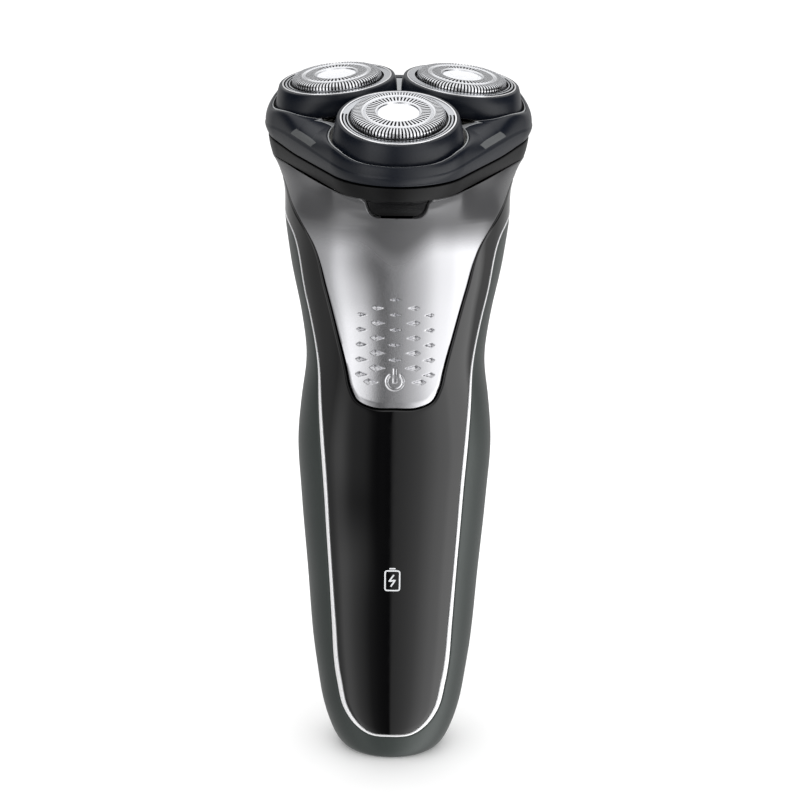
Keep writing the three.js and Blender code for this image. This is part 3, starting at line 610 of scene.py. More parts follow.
def shade_panel():
    """Painted shade: the gloss is weaker on the left of the panel, close under the neck, where its
    specular level is lowered.
    """
    tree = FINISHES["gloss_black"].node_tree
    wiring = Wiring(tree)
    x, _, z = wiring.split(tree.nodes["Texture Coordinate"].outputs["Object"])
    across = wiring.window(x, in_metres(PANEL_CALM_LEFT), in_metres(PANEL_CALM_RIGHT))
    up = wiring.slope(z, *in_metres(PANEL_CALM_Z), 0.0, PANEL_CALM)
    # painted shade: this share of the panel's reflection is taken away
    share = wiring.math("MULTIPLY", across, up)
    shader = tree.nodes["Principled BSDF"]
    gloss = shader.inputs["Specular IOR Level"].default_value
    tree.links.new(wiring.math("MULTIPLY", wiring.math("SUBTRACT", 1.0, share), gloss),
                   shader.inputs["Specular IOR Level"])


def dress_frame():
    """The CAD nodes that stay in view take the same finishes as the pieces."""
    slots = {part["node"]: part["material_slot"] for part in frame["record"]["subparts"]}
    for node, thing in frame["nodes"].items():
        # painted shade: the inner cutter takes a darkened steel
        inside = [name for start, name in HIDDEN_IN_FOIL.items() if node.startswith(start)]
        thing.data.materials.clear()
        thing.data.materials.append(FINISHES[inside[0] if inside else slots[node]])


# ---- handle: curves
def handle_curve(outline, round_the_side):
    """A curve from its front outline, then (degrees, height) stops on to the back."""
    stops = [[radians(angle), rise_at(z)] for angle, z in round_the_side]
    return drawn(np.vstack([on_front(outline), stops]))


TRIM = handle_curve(TRIM_OUTLINE, ((-6, 133.4), (25, 134.1), (90, TRIM_BACK_Z)))
NECK = handle_curve(NECK_OUTLINE, ((-4, NECK_SIDE_Z), (30, 140.2), (90, NECK_BACK_Z)))
TRIM_WIDTH = follow(TRIM_HALF_WIDTH, skin(TRIM[:, 1], TRIM[:, 0])[:, 2])
BACK_RISE = TRIM[-1, 1]


def rear_shell():
    edge = shifted(TRIM, -TRIM_WIDTH - TRIM_GAP)
    base = plain(np.array([[-pi / 2, 0], [0, 0], [pi / 2, 0], [pi / 2, BACK_RISE - 6]]))
    corner = np.argmax((base[:, 0] > pi / 2 - 1e-6)) / (len(base) - 1)
    share = np.concatenate([np.linspace(0, 0.2, 50, endpoint=False), np.linspace(0.2, 1, 170)])
    stops = [0, 0.2, 0.8, 1]
    a = spaced(edge, share, stops, [0, part_at(TRIM, 13), part_at(TRIM, 131), 1])
    b = spaced(base, share, stops, [0, corner, 0.85, 1])
    wall = patch(a, b, 44, (0.35, 1.2), (0, 0))
    make("rear_shell_skin", both(wall) + [base_face()], "handle", "shell_olive",
         "shell_olive", ["rear_shell"])


def base_face():
    """The flat foot, from the skin's first ring in to the charging inlet."""
    angles = np.linspace(-pi, pi, 145)
    foot = skin(np.zeros_like(angles), angles)
    width, tall, depth, power, inlet_y = 4.7, 2.0, 3.5, 6, 4.7
    c, s = np.cos(angles), np.sin(angles)
    reach = (np.abs(c / width) ** power + np.abs(s / tall) ** power) ** (-1 / power)
    hole = np.stack([reach * c, inlet_y + reach * s, 0 * angles], -1)
    lip = [hole + (foot - hole) * share for share in (1, 0.75, 0.5, 0.25, 0.05)]
    inner = [hole + [0, 0, 0.15], hole + [0, 0, depth]]
    return np.array(lip + inner)


def front_panel():
    edge = shifted(TRIM, TRIM_WIDTH + TRIM_GAP)
    mouth = shifted(NECK, -PANEL_GAP)
    share = np.linspace(0, 1, 240)
    stops = [0, 0.42, 0.75, 1]
    a = spaced(edge, share, stops, [0, part_at(TRIM, 92), part_at(TRIM, 131), 1])
    b = spaced(mouth, share, stops, [0, part_at(NECK, 94), part_at(NECK, 134), 1])
    wall = patch(a, b, 46, (0.35, 1.2), (0.45, 1.6))
    make("front_panel_skin", both(wall), "handle", "gloss_black", "gloss_black",
         ["front_panel"])


def trim_strip():
    share = np.linspace(0, 1, 320)
    a, b = at(shifted(TRIM, -TRIM_WIDTH), share), at(shifted(TRIM, TRIM_WIDTH), share)
    edge = (np.interp(share, np.linspace(0, 1, len(TRIM)), TRIM_WIDTH) * 0.55, 1.0)
    make("trim_band", both(patch(a, b, 4, edge, edge, lift=0.04)), "handle",
         "trim_silver", "trim_silver", ["trim_strip"])


# ---- neck with its pressing tongue
DIMPLE_COLUMNS = (  # distance from the centre, height of the top one, how many, half length, half height
    (0, 115.8, 5, 1.55, 0.36), (3.9, 113.9, 5, 1.75, 0.66), (7.5, 112.2, 5, 1.45, 0.62))
DIMPLE_PITCH, DIMPLE_DEPTH = 3.44, 0.5
DIMPLE_GROW = 0.82, 0.07  # size of the top one, and how much bigger each next one is
SYMBOL_DIMPLE = 5.3, 96.84, 1.65, 0.64, 1.1  # beside the symbol: centre, height, halves, size
DIMPLE_PEAK = 0.35  # the widest place, as a share of the half length
SYMBOL_RING, SYMBOL_LINE, SYMBOL_DEPTH = 1.87, 0.36, 0.16  # its radius, half its line, its depth
BEVEL_DEPTH = 0.42  # the sunk border of the tongue, and how wide it is at each height
BEVEL_WIDTH = [[90, 1.8], [92, 1.5], [95, 0.8], [98, 0.65], [140, 0.65]]


def dimples(x, z):
    sunk = np.zeros_like(x)
    places = [(cx, top - DIMPLE_PITCH * k, long_half, half, DIMPLE_GROW[0] + DIMPLE_GROW[1] * k)
              for cx, top, count, long_half, half in DIMPLE_COLUMNS for k in range(count)]
    places.append(SYMBOL_DIMPLE)
    for cx, cz, long_half, half, grow in places:
        out = (np.abs(x) - cx) / (long_half * grow)
        rise = np.abs(z - cz) / (half * grow)
        if cx:
            out = np.where(out > DIMPLE_PEAK, (out - DIMPLE_PEAK) / (1 - DIMPLE_PEAK),
                           (DIMPLE_PEAK - out) / (1 + DIMPLE_PEAK))
        inside = np.clip(1 - np.abs(out) - rise, 0, 1)
        sunk = np.maximum(sunk, DIMPLE_DEPTH * np.sqrt(inside) * np.minimum(1, inside * 3))
    return sunk


def power_symbol(x, z):
    """A ring broken at the top, with a bar through the break."""
    r = np.hypot(x, z - POWER_Z)
    circle = np.abs(r - SYMBOL_RING) - SYMBOL_LINE
    gap = np.minimum(1.05 - np.abs(x), z - POWER_Z)
    bar = np.maximum(np.abs(x) - 0.5, np.abs(z - POWER_Z - 1.35) - 1.75)
    groove = np.minimum(np.maximum(circle, gap), bar)
    return SYMBOL_DEPTH * ease(-groove / 0.2)


def tongue_relief(points, distance):
    x, z = points[..., 0], points[..., 2]
    near = np.where((points[..., 1] < 0) & (z < 122), 1.0, 0.0)
    width = follow(BEVEL_WIDTH, z)
    fade = ease((126 - z) / 8)
    bevel = BEVEL_DEPTH * np.clip(1 - distance / width, 0, 1) * fade * (z < 130)
    return near * (dimples(x, z) + power_symbol(x, z)) + bevel


def button_outline(grow, top):
    """Half the outline of the release button, from its bottom centre up one side."""
    return rounded([(0, BUTTON_Z - grow, 0), (BUTTON_HALF_BOTTOM + grow, BUTTON_Z - grow, BUTTON_ROUND),
                    (BUTTON_HALF_TOP + grow, BUTTON_Z + top, 0)])


def neck_and_tongue():
    hole = on_front(button_outline(BUTTON_GAP, 3.1))
    corner = np.array([hole[-1, 0] + 0.012, TOP_RISE])
    path = np.vstack([[[-pi / 2, rise_at(93.5)]], hole, [corner], [[pi / 2, TOP_RISE]]])
    inner = plain(path)
    bottom = part_at(inner, skin(hole[0, 1], hole[0, 0])[2])
    top = np.argmax(inner[:, 1] > TOP_RISE - 1e-6) / (len(inner) - 1)
    stops = [0, 0.1, 0.45, 0.6, 0.72, 1]
    runs = [np.linspace(stops[k], stops[k + 1], n, endpoint=False)
            for k, n in enumerate((40, 170, 40, 40))]
    share = np.concatenate(runs + [np.linspace(stops[-2], 1, 90)])
    a = spaced(NECK, share, stops, [0] + [part_at(NECK, z) for z in (93.6, 117, 131, 137)] + [1])
    b = spaced(inner, share, stops, [0, part_at(inner, 95.3), part_at(inner, 117), bottom, top, 1])
    rim = np.where(share < stops[3], 0.0, 0.2)
    grid = patch(a, b, 78, (0.22, 1.5), (rim, rim * 15), near_a=(0.3, 0.6, 1.0, 1.5),
                 relief=tongue_relief)
    piece = make("neck_and_tongue", both(grid), None, "satin_silver", "satin_silver",
                 ["neck_shell", "power_tongue"])
    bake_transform(piece)


def release_button():
    half = np.vstack([button_outline(0, BUTTON_TOP), [[0, BUTTON_Z + BUTTON_TOP]]])
    steps = distances(half)
    fine = np.linspace(0, steps[-1], 60)[:-1]
    right = np.stack([np.interp(fine, steps, half[:, k]) for k in (0, 1)], -1)
    ring = np.vstack([right, (right * [-1, 1])[:0:-1]])
    make("release_button_cap", [tile(ring, (0.45, 0.9), -0.15, 8)], "latch_button",
         "button_black", "band_black", ["release_button"])


# ---- charge symbol
def stroke(points, width, closed=False):
    """Flat ribbon round a path of [x, z] points, as a grid that follows the skin."""
    path = np.array(points, float)
    if closed:
        path = np.vstack([path, path[:1]])
    runs = [np.linspace(p, q, 8, endpoint=False) for p, q in zip(path[:-1], path[1:])]
    fine = np.vstack(runs + [path[-1:]])
    along = unit(np.gradient(fine, axis=0))
    if closed:
        along[0] = along[-1] = unit(fine[1] - fine[-2])
    side = np.stack([-along[:, 1], along[:, 0]], -1) * width / 2
    rows = []
    for shift, lift in ((1, -0.05), (1, 0.03), (-1, 0.03), (-1, -0.05)):
        line, normals = on_skin(fine + side * shift)
        rows.append(line + normals * lift)
    return np.array(rows)


def charge_symbol():
    """A battery outline with a lightning bolt: the light window's printed sign."""
    w, h = 1.7, 2.5
    body = rounded([(-w, -h, 0.6), (w, -h, 0.6), (w, h, 0.6), (-w, h, 0.6)], closed=True)[:-1]
    cap = [[-0.7, h + 0.55], [0.7, h + 0.55]]
    bolt = [[0.35, 1.5], [-0.75, -0.15], [0.65, 0.15], [-0.35, -1.5]]
    centre = [0, SYMBOL_Z]
    grids = [stroke(np.array(body) + centre, 0.34, closed=True), stroke(np.array(cap) + centre, 0.34),
             stroke(np.array(bolt) + centre, 0.36)]
    make("charge_symbol", grids, "handle", "lens_white", "lens_white", ["indicator_lens"])


# ---- band and cover of the shaving unit
BAND = Matrix.Translation((0, HEAD_Y, HEAD_Z)) @ Matrix.Rotation(BAND_TILT, 4, "X")
HEAD = Matrix.Translation((0, HEAD_Y, HEAD_Z)) @ Matrix.Rotation(HEAD_TILT, 4, "X")
ROUND, FINE_ROUND = np.linspace(-pi, pi, 361), np.linspace(-pi, pi, 721)
SHOULDER = 0.45  # part of the cover's height where its top starts to round over
SHOULDER_POWER = 2 / 2.5
COVER_SIDE = [[0, SEAM_R], [0.3, COVER_R], [1, COVER_R]]


def head_matrix(angle):
    x, y = polar(RHO, angle)
    return (HEAD @ Matrix.Translation((x, y, FLANGE_Z)) @ Matrix.Rotation(radians(angle), 4, "Z")
            @ Matrix.Rotation(LEAN, 4, "Y"))


def opening_centres():
    """Where the three head axes cross the cover's sloping top, in the band frame."""
    centres = []
    for angle in HEAD_ANGLES.values():
        local = BAND.inverted() @ head_matrix(angle)
        start, axis = local.translation, local.col[2].to_3d()
        k = (COVER_TOP_Z + COVER_TOP_SLOPE * start.y - start.z) / (axis.z - COVER_TOP_SLOPE * axis.y)
        centres.append(np.array((start + axis * k).xy))
    return centres


def far_side(angle, centre, radius):
    """Distance from the origin to the far side of a circle, in any direction."""
    along = centre[0] * np.cos(angle) + centre[1] * np.sin(angle)
    inside = radius ** 2 - (centre @ centre) + along ** 2
    return np.where(inside > 0, along + np.sqrt(np.maximum(inside, 0)), -99)


def openings_edge(angle, radius, tips=True):
    """The edge of the three joined openings. Each tip between two of them ends in a small arc."""
    centres = opening_centres()
    edge = np.max([far_side(angle, c, radius) for c in centres], 0)
    if not tips:
        return edge
    pairs = ((0, 1), (1, 2), (2, 0))
    for i, j in pairs:
        a, b = centres[i], centres[j]
        half = np.linalg.norm(b - a) / 2
        middle, outward = (a + b) / 2, unit((a + b) / 2)
        tip = TIP_R - middle @ outward
        arc = (tip ** 2 + half ** 2 - radius ** 2) / (2 * (radius - tip))
        centre = middle + outward * (tip + arc)
        touch = [a + (centre - a) * radius / (radius + arc), b + (centre - b) * radius / (radius + arc)]
        turns = [np.arctan2(t[1], t[0]) for t in touch]
        middle_turn = np.arctan2(centre[1], centre[0])
        spread = max(abs((t - middle_turn + pi) % (2 * pi) - pi) for t in turns)
        off = (angle - middle_turn + pi) % (2 * pi) - pi
        along = np.linalg.norm(centre) * np.cos(off)
        inside = np.maximum(arc ** 2 - centre @ centre + along ** 2, 0)
        edge = np.where(np.abs(off) < spread, np.maximum(along - np.sqrt(inside), edge), edge)
    return edge


def top_z(r, angle, drop=0):
    x, y = np.abs(r * np.cos(angle)), r * np.sin(angle)
    fall = SIDE_FALL * np.clip(part_way(x, SIDE_FALL_X), 0, 1.3) ** 2
    fall += FRONT_FALL * ease(part_way(-y, FRONT_FALL_Y))
    return COVER_TOP_Z + COVER_TOP_SLOPE * y - fall - drop


def seam_dip(angle):
    return SEAM_DIP * ease((4 - hull_radius(angle, SEAM_R) * np.sin(angle)) / 14)


def cover_bottom(angle):
    return BAND_HEIGHT + SEAM - seam_dip(angle)


def ring(r, z, angle=ROUND):
    r, z = np.broadcast_to(r, angle.shape), np.broadcast_to(z, angle.shape)
    return np.stack([r * np.cos(angle), r * np.sin(angle), z], -1)


def top_ring(r, angle, drop=0):
    return ring(r, top_z(r, angle, drop), angle)


def unit_piece(name, rows, look, node):
    make(name, [carried(np.array(rows), BAND)], "shaving_unit", look, look, [node], sharp=50)


def shoulder(angle, turn, lip=0.3, lift=0.0):
    """The cover's rounded top: turn runs from 0 at the lip to a quarter turn at the side."""
    inner, outer = openings_edge(angle, OPENING_R) + lip, hull_radius(angle, COVER_R)
    fall = (top_z(outer, angle) - cover_bottom(angle)) * (1 - SHOULDER)
    r = inner + (outer - inner) * np.sin(turn) ** SHOULDER_POWER + lift
    return ring(r, top_z(r, angle, fall * (1 - np.cos(turn) ** SHOULDER_POWER)) + lift, angle)


def head_cover():
    angle = FINE_ROUND
    inner = openings_edge(angle, OPENING_R)
    outer = hull_radius(angle, COVER_R)
    bottom = cover_bottom(angle)
    rows = [ring(hull_radius(angle, CAVITY_R + 0.5), top_z(inner, angle, 2.2), angle)]
    foot = [(CAVITY_R + 0.5, 0, 0), (SEAM_R, 0, 0.25), (follow(COVER_SIDE, 0.06), 0.45, 0)]
    for R, lift in rounded(foot):
        rows.append(ring(hull_radius(angle, R), bottom + lift, angle))
    for part in np.linspace(0.12, SHOULDER, 14):
        r = hull_radius(angle, follow(COVER_SIDE, part))
        rows.append(ring(r, bottom + (top_z(r, angle) - bottom) * part, angle))
    lip = np.minimum(0.3, (outer - inner) * 0.3)
    rows += [shoulder(angle, turn, lip) for turn in np.linspace(pi / 2, 0, 30)[1:]]
    for turn in np.linspace(0, pi / 2, 5)[1:]:
        rows.append(top_ring(inner + lip * (1 - sin(turn)), angle, lip * (1 - cos(turn))))
    rows.append(top_ring(inner, angle, 2))
    unit_piece("head_cover_shell", rows, "cover_black", "head_cover")


PLATE_DROP, PLATE_HOLLOW, PLATE_FRONT_DROP = 0.12, 1.1, 0.4  # below the cover's top


def centre_plate():
    """The grey deck between the domes, and its bright lip round each of them."""
    angle = FINE_ROUND
    outer = openings_edge(angle, OPENING_R) - 0.1
    inner = openings_edge(angle, DOME_BASE_R + 0.3, tips=False)
    width = np.maximum(outer - inner, 0.05)
    soft = np.minimum(0.12, width * 0.3)
    rows = [top_ring(outer, angle, 1.6)]
    for turn in np.linspace(0, pi / 2, 4):
        rows.append(top_ring(outer - soft * (1 - cos(turn)), angle, PLATE_DROP + soft * (1 - sin(turn))))
    for share in np.linspace(0, 1, 12)[1:]:
        r = outer - soft - (width - soft) * share
        hollow = PLATE_HOLLOW * ease((outer - r - 0.4) / 4)
        front = PLATE_FRONT_DROP * ease((-r * np.sin(angle) - FRONT_FALL_Y[0]) / 4)
        rows.append(top_ring(r, angle, PLATE_DROP + hollow + front))
    rows.append(top_ring(inner, angle, 3.2))
    unit_piece("centre_plate_lip", rows, "centre_grey", "centre_plate")


def unit_band():
    inside, tongue = CAVITY_R - 0.1, CAVITY_R + 0.3  # the tongue stands up behind the seam
    profile = rounded([(inside, 0.02, 0.2), (BAND_R, 0.02, 0.3), (BAND_R + 0.5, 2, 1.2),
                       (SEAM_R, BAND_HEIGHT, 0.25), (tongue, BAND_HEIGHT, 0.1),
                       (tongue, BAND_HEIGHT + 1.6, 0.1), (inside, BAND_HEIGHT + 1.6, 0.1)], closed=True)
    rows = [ring(hull_radius(ROUND, R), z - seam_dip(ROUND) * z / BAND_HEIGHT) for R, z in profile]
    unit_piece("unit_band", rows, "band_black", "unit_base")


def label_bars():
    """Two plain pale bars printed on the cover's shoulders."""
    grids = []
    for side in (-1, 1):
        along = np.linspace(-0.5, 0.5, 14)
        rows = []
        for across in np.linspace(-0.5, 0.5, 6):
            off = LABEL_ANGLE + along * LABEL_LENGTH + across * LABEL_SLANT
            turn = LABEL_TURN + across * LABEL_WIDTH
            angle = np.radians(-90 + side * off)
            rows.append(shoulder(angle, radians(turn), lift=0.03))
        grids.append(carried(np.array(rows), BAND))
    make("label_bars", grids, "shaving_unit", "label_grey", "cover_black")


# ---- one floating head
WAIST, WAIST_ANGLE, WAIST_SPREAD = 2.0, 125, 55  # a dome's foot is pulled in beside its neighbours


def head_piece(kind, grid, body, side, look, slot, replaces=(), **more):
    """A piece turned about one head's own axis."""
    seat = head_matrix(HEAD_ANGLES[side])
    make(f"{kind}_{side}", [carried(grid, seat)], f"{body}_{side}", look, slot,
         [f"{node}_{side}" for node in replaces], **more)


def dome_head(side):
    angle = HEAD_ANGLES[side]
    local = np.array(head_matrix(angle).inverted() @ HEAD)
    walls = []
    x, y = polar(RHO, angle)
    half_way = HEAD_SPACING / 2 - DOME_SPLIT
    for aside in (-150, 150):  # the planes half way to the two neighbouring heads
        nx, ny = polar(1, angle + aside)
        normal = local[:3, :3] @ [nx, ny, 0]
        point = carried(np.array([x + nx * half_way, y + ny * half_way, FLANGE_Z]), local)
        walls.append((normal, normal @ point))

    def squeeze(radius, level, angles):
        aside = np.abs(np.degrees((angles + pi) % (2 * pi) - pi))
        facing = ease(1 - np.abs(aside - WAIST_ANGLE) / WAIST_SPREAD)
        low = np.clip(-level / DOME_DEPTH, 0, 1) ** 1.5
        radius = np.where(radius > DOME_BORE_R, radius - WAIST * facing * low, radius)
        for normal, reach in walls:
            facing = normal[0] * np.cos(angles) + normal[1] * np.sin(angles)
            limit = np.where(facing > 0.2, (reach - normal[2] * level) / np.maximum(facing, 0.2), 99)
            radius = smooth_min(radius, limit, 0.3)
        return radius

    edge_r, edge_z = DOME_TOP_R + 0.45, -0.8
    cone = [(edge_r + (DOME_BASE_R - edge_r) * t ** 0.85, edge_z - (DOME_DEPTH + edge_z) * t)
            for t in np.linspace(0, 1, 12)]
    profile = [(DOME_BORE_R, -4.5)]
    profile += rounded([(DOME_BORE_R, -1.2, 0), (DOME_BORE_R, 0.1, 0.12), (DOME_TOP_R + 0.1, 0.05, 0.3),
                        (*cone[0], 0)]).tolist()
    profile += cone[1:] + [(DOME_BASE_R - 0.6, -DOME_SKIRT), (12.9, -DOME_SKIRT), (DOME_BORE_R, -4.5)]
    head_piece("dome_shell", lathe(profile, 192, squeeze), "head", side, "cover_black",
               "cover_black", ["dome"], sharp=40)


OUTER_SLOTS, INNER_SLOTS = 84, 48
SLOT_ARC = 97  # the guard's slots run this far each side of the outward direction
GUARD_RINGS, GUARD_SIDES = (10.9, 11.15, 11.55, 11.92, 12.28), 240


def foil_guard(side):
    """Flat flange round the foil: a polished rim, and two arc slots on the outward half."""
    rings = [lathe([(r, 0)], GUARD_SIDES)[0] for r in GUARD_RINGS]
    turned = ((np.arange(GUARD_SIDES) + 0.5) * 360 / GUARD_SIDES + 180) % 360 - 180

    def keep(rows, columns):
        return ~(np.isin(rows, (1, 3)) & (np.abs(turned[columns]) < SLOT_ARC))

    head_piece("guard_plate", np.array(rings), "foil", side, "dark_steel", "dark_steel",
               ["foil_guard"], keep=keep, thickness=0.3)
    inside, outside = GUARD_RINGS[0], GUARD_RINGS[-1]
    rim = rounded([(outside, -0.3, 0), (outside, 0.18, 0.1), (GUARD_R, 0.18, 0.16), (GUARD_R, -3.2, 0)])
    head_piece("guard_rim", lathe(rim, 160), "foil", side, "rim_silver", "dark_steel")
    well = rounded([(inside, -0.02, 0), (inside, -1.0, 0.1), (FOIL_R + 0.05, -1.0, 0)])
    head_piece("guard_well", lathe(well, 120), "foil", side, "switch_black", "dark_steel")


def slotted(kind, side, profile, pitches, open_rows):
    """A ring of radial slots: every other cell is open on the rows that carry them."""
    angles = np.repeat(np.arange(pitches) * 2 * pi / pitches, 2)
    angles[1::2] += pi / pitches
    angles = np.append(angles, 2 * pi)
    profile = np.array(profile, float)
    grid = np.stack([profile[:, :1] * np.cos(angles), profile[:, :1] * np.sin(angles),
                     profile[:, 1:] + 0 * angles], -1)
    first, last = open_rows

    def keep(rows, columns):
        return ~((rows >= first) & (rows < last) & (columns % 2 == 0))

    head_piece(kind, grid, "foil", side, "foil_steel", "foil_steel", keep=keep, thickness=0.16)


def foil_cap(side):
    outer = [(7.45, 1.2), (7.6, 1.36), (7.78, 1.46), (8.0, FOIL_TOP), (8.6, FOIL_TOP + 0.03),
             (9.2, FOIL_TOP), (9.65, 1.4), (9.98, 1.22), (10.2, 0.95), (10.32, 0.6), (FOIL_R, 0.2),
             (FOIL_R, -0.3), (FOIL_R, -1.5)]
    slotted("foil_track", side, outer, OUTER_SLOTS, (3, 10))
    inner = [(DISC_R + 0.02, DISC_Z - 0.05), (4.62, 1.36), (4.8, FOIL_TOP), (5.0, FOIL_TOP + 0.02),
             (5.8, FOIL_TOP + 0.04), (6.6, FOIL_TOP + 0.03), (7.05, FOIL_TOP), (7.25, 1.4), (7.45, 1.2)]
    slotted("foil_inner_track", side, inner, INNER_SLOTS, (3, 6))
    # painted shade: a black sheet just under the slotted tracks, where there is only the shade inside
    # the foil
    shadow_sheet = [(r - 0.2, z - 0.24) for r, z in inner[2:-2]] + [(r - 0.24, z - 0.22) for r, z in outer[1:]]
    head_piece("foil_shadow_sheet", lathe(shadow_sheet, 120), "foil", side, "slot_shadow_black", "foil_steel")
    disc = [(DISC_R, DISC_Z - 0.5), (DISC_R, DISC_Z - 0.05), (DISC_R - 0.1, DISC_Z),
            (3.4, DISC_Z - 0.02), (2.2, DISC_Z - 0.05), (1, DISC_Z - 0.07), (0.01, DISC_Z - 0.07)]
    head_piece("foil_badge", lathe(disc, 96), "foil", side, "disc_silver", "foil_steel",
               ["shaving_foil"])


# ---- hinge
def arc_points(radius, start, end, steps=12):
    return [(HINGE_Y + radius * cos(radians(a)), HINGE_Z + radius * sin(radians(a)))
            for a in np.linspace(start, end, steps)]


def hinge():
    bracket = arc_points(KNUCKLE_R, -20, 200) + [(24.6, -0.3), (22.7, -0.6), (22.7, -3.0), (24.4, -3.4),
                                                 (26.6, -2.2)]
    bars = [carried(extruded(bracket, x0, x1, 0.2), BAND) for x0, x1 in ((-6.6, -4), (4, 6.6))]
    make("hinge_brackets", bars, "handle", "band_black", "satin_silver", sharp=40)
    leaf = arc_points(KNUCKLE_R, -90, 160) + [(24.2, 2.1), (22.8, 2.1), (22.8, 0.15), (24.2, 0.15)]
    make("hinge_leaf", [carried(extruded(leaf, -3.6, 3.6, 0.2), BAND)], "shaving_unit",
         "band_black", "band_black", sharp=40)


# ---- studio
# Brightness round the object, [azimuth, value]: 0 is the side the camera stands on, + is its right.
SURROUND = [(-180, 0.6), (-120, 0.55), (-104, 0.5), (-92, 0.5), (-66, 0.6), (-56, 1.2), (-49, 1.1),
            (-37, 0.68), (-26, 0.4), (-18, 0.17), (-10, 0.08), (-1, 0.03), (0, 0.51), (10, 0.74),
            (18, 0.96), (26, 1.33), (37, 1.78), (49, 2.0), (56, 2.4), (92, 2.4), (104, 0.8),
            (120, 0.55), (180, 0.6)]
BRIGHTEST = 3.0
CEILING, UNDERSIDE = 1.2, 0.8
# Soft boxes and dark flags: (azimuth it rises over, falls over), (elevation it rises over, falls
# over), strength.
SOFT_BOXES = [(((-60, -42), (-22, -9)), ((-24, -16), (4, 30)), 1.1),
              (((-60, -42), (-22, -9)), ((-32, -22), (-22, -16)), 0.4),
              (((45, 62), (110, 130)), ((-6, 2), (30, 50)), -2.4),
              (((-130, -110), (-64, -48)), ((-6, 2), (30, 50)), -0.7)]


class Wiring:
    """Short calls for value nodes."""

    def __init__(self, tree):
        self.tree = tree

    def math(self, operation, *values):
        node = self.tree.nodes.new("ShaderNodeMath")
        node.operation = operation
        for socket, value in zip(node.inputs, values):
            if isinstance(value, bpy.types.NodeSocket):
                self.tree.links.new(value, socket)
            else:
                socket.default_value = value
        return node.outputs[0]

    def slope(self, value, start, end, low=0.0, high=1.0):
        node = add_node(self.tree, "MapRange", From_Min=start, From_Max=end, To_Min=low, To_Max=high)
        node.interpolation_type = "SMOOTHSTEP"
        self.tree.links.new(value, node.inputs["Value"])
        return node.outputs["Result"]

    def split(self, vector):
        node = self.tree.nodes.new("ShaderNodeSeparateXYZ")
        self.tree.links.new(vector, node.inputs[0])
        return node.outputs

    def window(self, value, rise, fall):
        return self.math("MULTIPLY", self.slope(value, *rise), self.slope(value, *fall, 1.0, 0.0))

    def ramp(self, value, keys):
        node = self.tree.nodes.new("ShaderNodeValToRGB")
        self.tree.links.new(value, node.inputs["Fac"])
        points = node.color_ramp.elements
        while len(points) < len(keys):
            points.new(0.5)
        for point, (position, tone) in zip(points, keys):
            point.position = position
            point.color = (tone, tone, tone, 1)
        return node.outputs["Color"]


def surroundings():
    world = bpy.data.worlds.new("studio")
    bpy.context.scene.world = world
    world.use_nodes = True
    tree = world.node_tree
    wiring = Wiring(tree)
    direction = tree.nodes.new("ShaderNodeTexCoord").outputs["Generated"]
    x, y, z = wiring.split(direction)
    azimuth = wiring.math("DEGREES", wiring.math("ARCTAN2", x, wiring.math("MULTIPLY", y, -1.0)))
    elevation = wiring.math("DEGREES", wiring.math("ARCSINE", z))
    around = wiring.math("DIVIDE", wiring.math("ADD", azimuth, 180.0), 360.0)
    keys = [((a + 180) / 360, value / BRIGHTEST) for a, value in SURROUND]
    light = wiring.math("MULTIPLY", wiring.ramp(around, keys), BRIGHTEST)
    for across, up, strength in SOFT_BOXES:
        box = wiring.math("MULTIPLY", wiring.window(azimuth, *across), wiring.window(elevation, *up))
        light = wiring.math("ADD", light, wiring.math("MULTIPLY", box, strength))
    light = wiring.math("MAXIMUM", light, 0.0)
    above = wiring.slope(elevation, 20, 50)
    light = wiring.math("ADD", wiring.math("MULTIPLY", light, wiring.math("SUBTRACT", 1.0, above)),
                        wiring.math("MULTIPLY", above, CEILING))
    light = wiring.math("MULTIPLY", light, wiring.slope(elevation, -75, -55, UNDERSIDE, 1.0))
    background = tree.nodes["Background"]
    tree.links.new(light, background.inputs["Color"])
    background.inputs["Strength"].default_value = 1.0


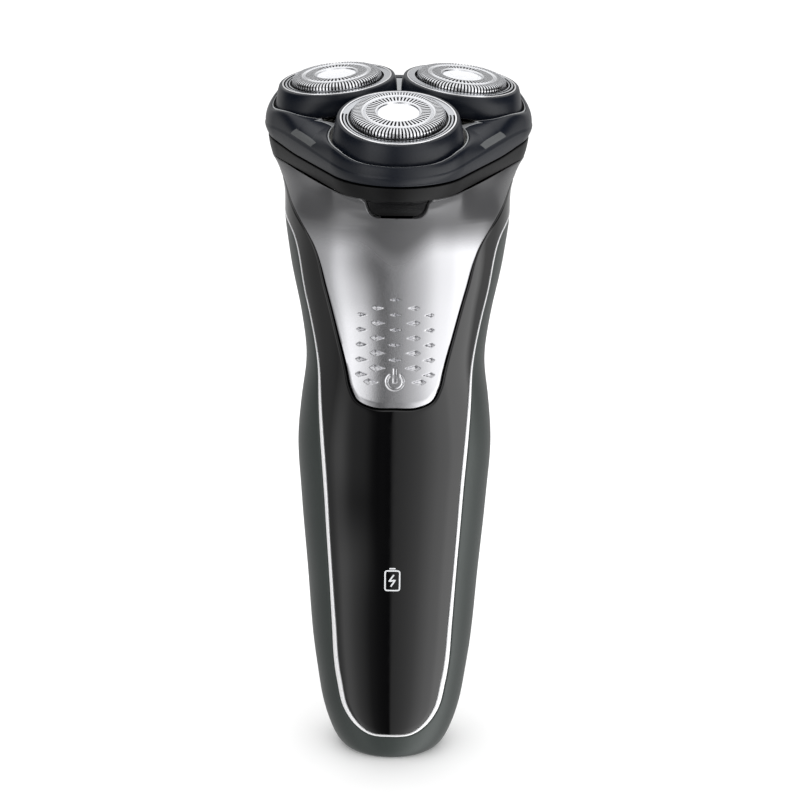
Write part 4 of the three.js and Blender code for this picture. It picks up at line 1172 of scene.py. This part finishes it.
def floor():
    """A pale disc that sweeps up into a bowl all round the object."""
    flat, bend, top, sides = 1300, 700, 2600, 96
    profile = [(0.1, 0), (60, 0), (200, 0), (600, 0), (flat, 0)]
    profile += [(flat + bend * sin(t), bend * (1 - cos(t))) for t in np.linspace(0.1, pi / 2, 14)]
    profile += [(flat + bend, top)]
    grid = lathe(profile, sides) - [0, 0, 0.05]
    mesh = mesh_of("floor", grid.reshape(-1, 3), faces_of(*grid.shape[:2]))
    smooth(mesh)
    sheet = linked("floor", mesh)
    sheet.visible_glossy = sheet.visible_diffuse = sheet.visible_shadow = False
    paper = finish("floor_white", linear(246, 246, 246), 0.85, 0, tint=0.01, grain=60, bump=0.01,
                   specular=0.1)
    shader = paper.node_tree.nodes["Principled BSDF"]
    shader.inputs["Emission Color"].default_value = (1, 1, 1, 1)
    shader.inputs["Emission Strength"].default_value = 0.12
    mesh.materials.append(paper)


def soft_box(name, place_mm, target_mm, width, tall, power):
    data = bpy.data.lights.new(name, "AREA")
    data.shape, data.size, data.size_y = "RECTANGLE", width * MM, tall * MM
    data.energy = power
    lamp = linked(name, data)
    lamp.visible_glossy = False
    lamp.location = Vector(place_mm) * MM
    aim = (Vector(target_mm) - Vector(place_mm)).normalized()
    lamp.rotation_euler = aim.to_track_quat("-Z", "Z").to_euler()


def studio():
    shade_neck()
    shade_panel()
    bpy.context.scene.view_settings.view_transform = "Standard"
    surroundings()
    floor()
    soft_box("top_box", (0, 100, 1500), (0, 0, 0), 1600, 1600, 10)


CAMERA_PLACE = 1.2, -354, 179.3
CAMERA_DOWN, CAMERA_ROLL = 14.5, 0.8  # degrees


def camera():
    data = bpy.data.cameras.new("camera")
    data.sensor_width, data.lens = 36, 68.94
    data.clip_start, data.clip_end = 0.01, 20
    view = linked("camera", data)
    view.matrix_world = (Matrix.Translation(Vector(CAMERA_PLACE) * MM)
                         @ Matrix.Rotation(radians(90 - CAMERA_DOWN), 4, "X")
                         @ Matrix.Rotation(radians(CAMERA_ROLL), 4, "Z"))
    bpy.context.scene.camera = view


# ---- assembly
camera()
studio()
dress_frame()
rear_shell()
front_panel()
trim_strip()
neck_and_tongue()
release_button()
charge_symbol()
unit_band()
head_cover()
centre_plate()
label_bars()
for side in HEAD_ANGLES:
    dome_head(side)
    foil_guard(side)
    foil_cap(side)
hinge()
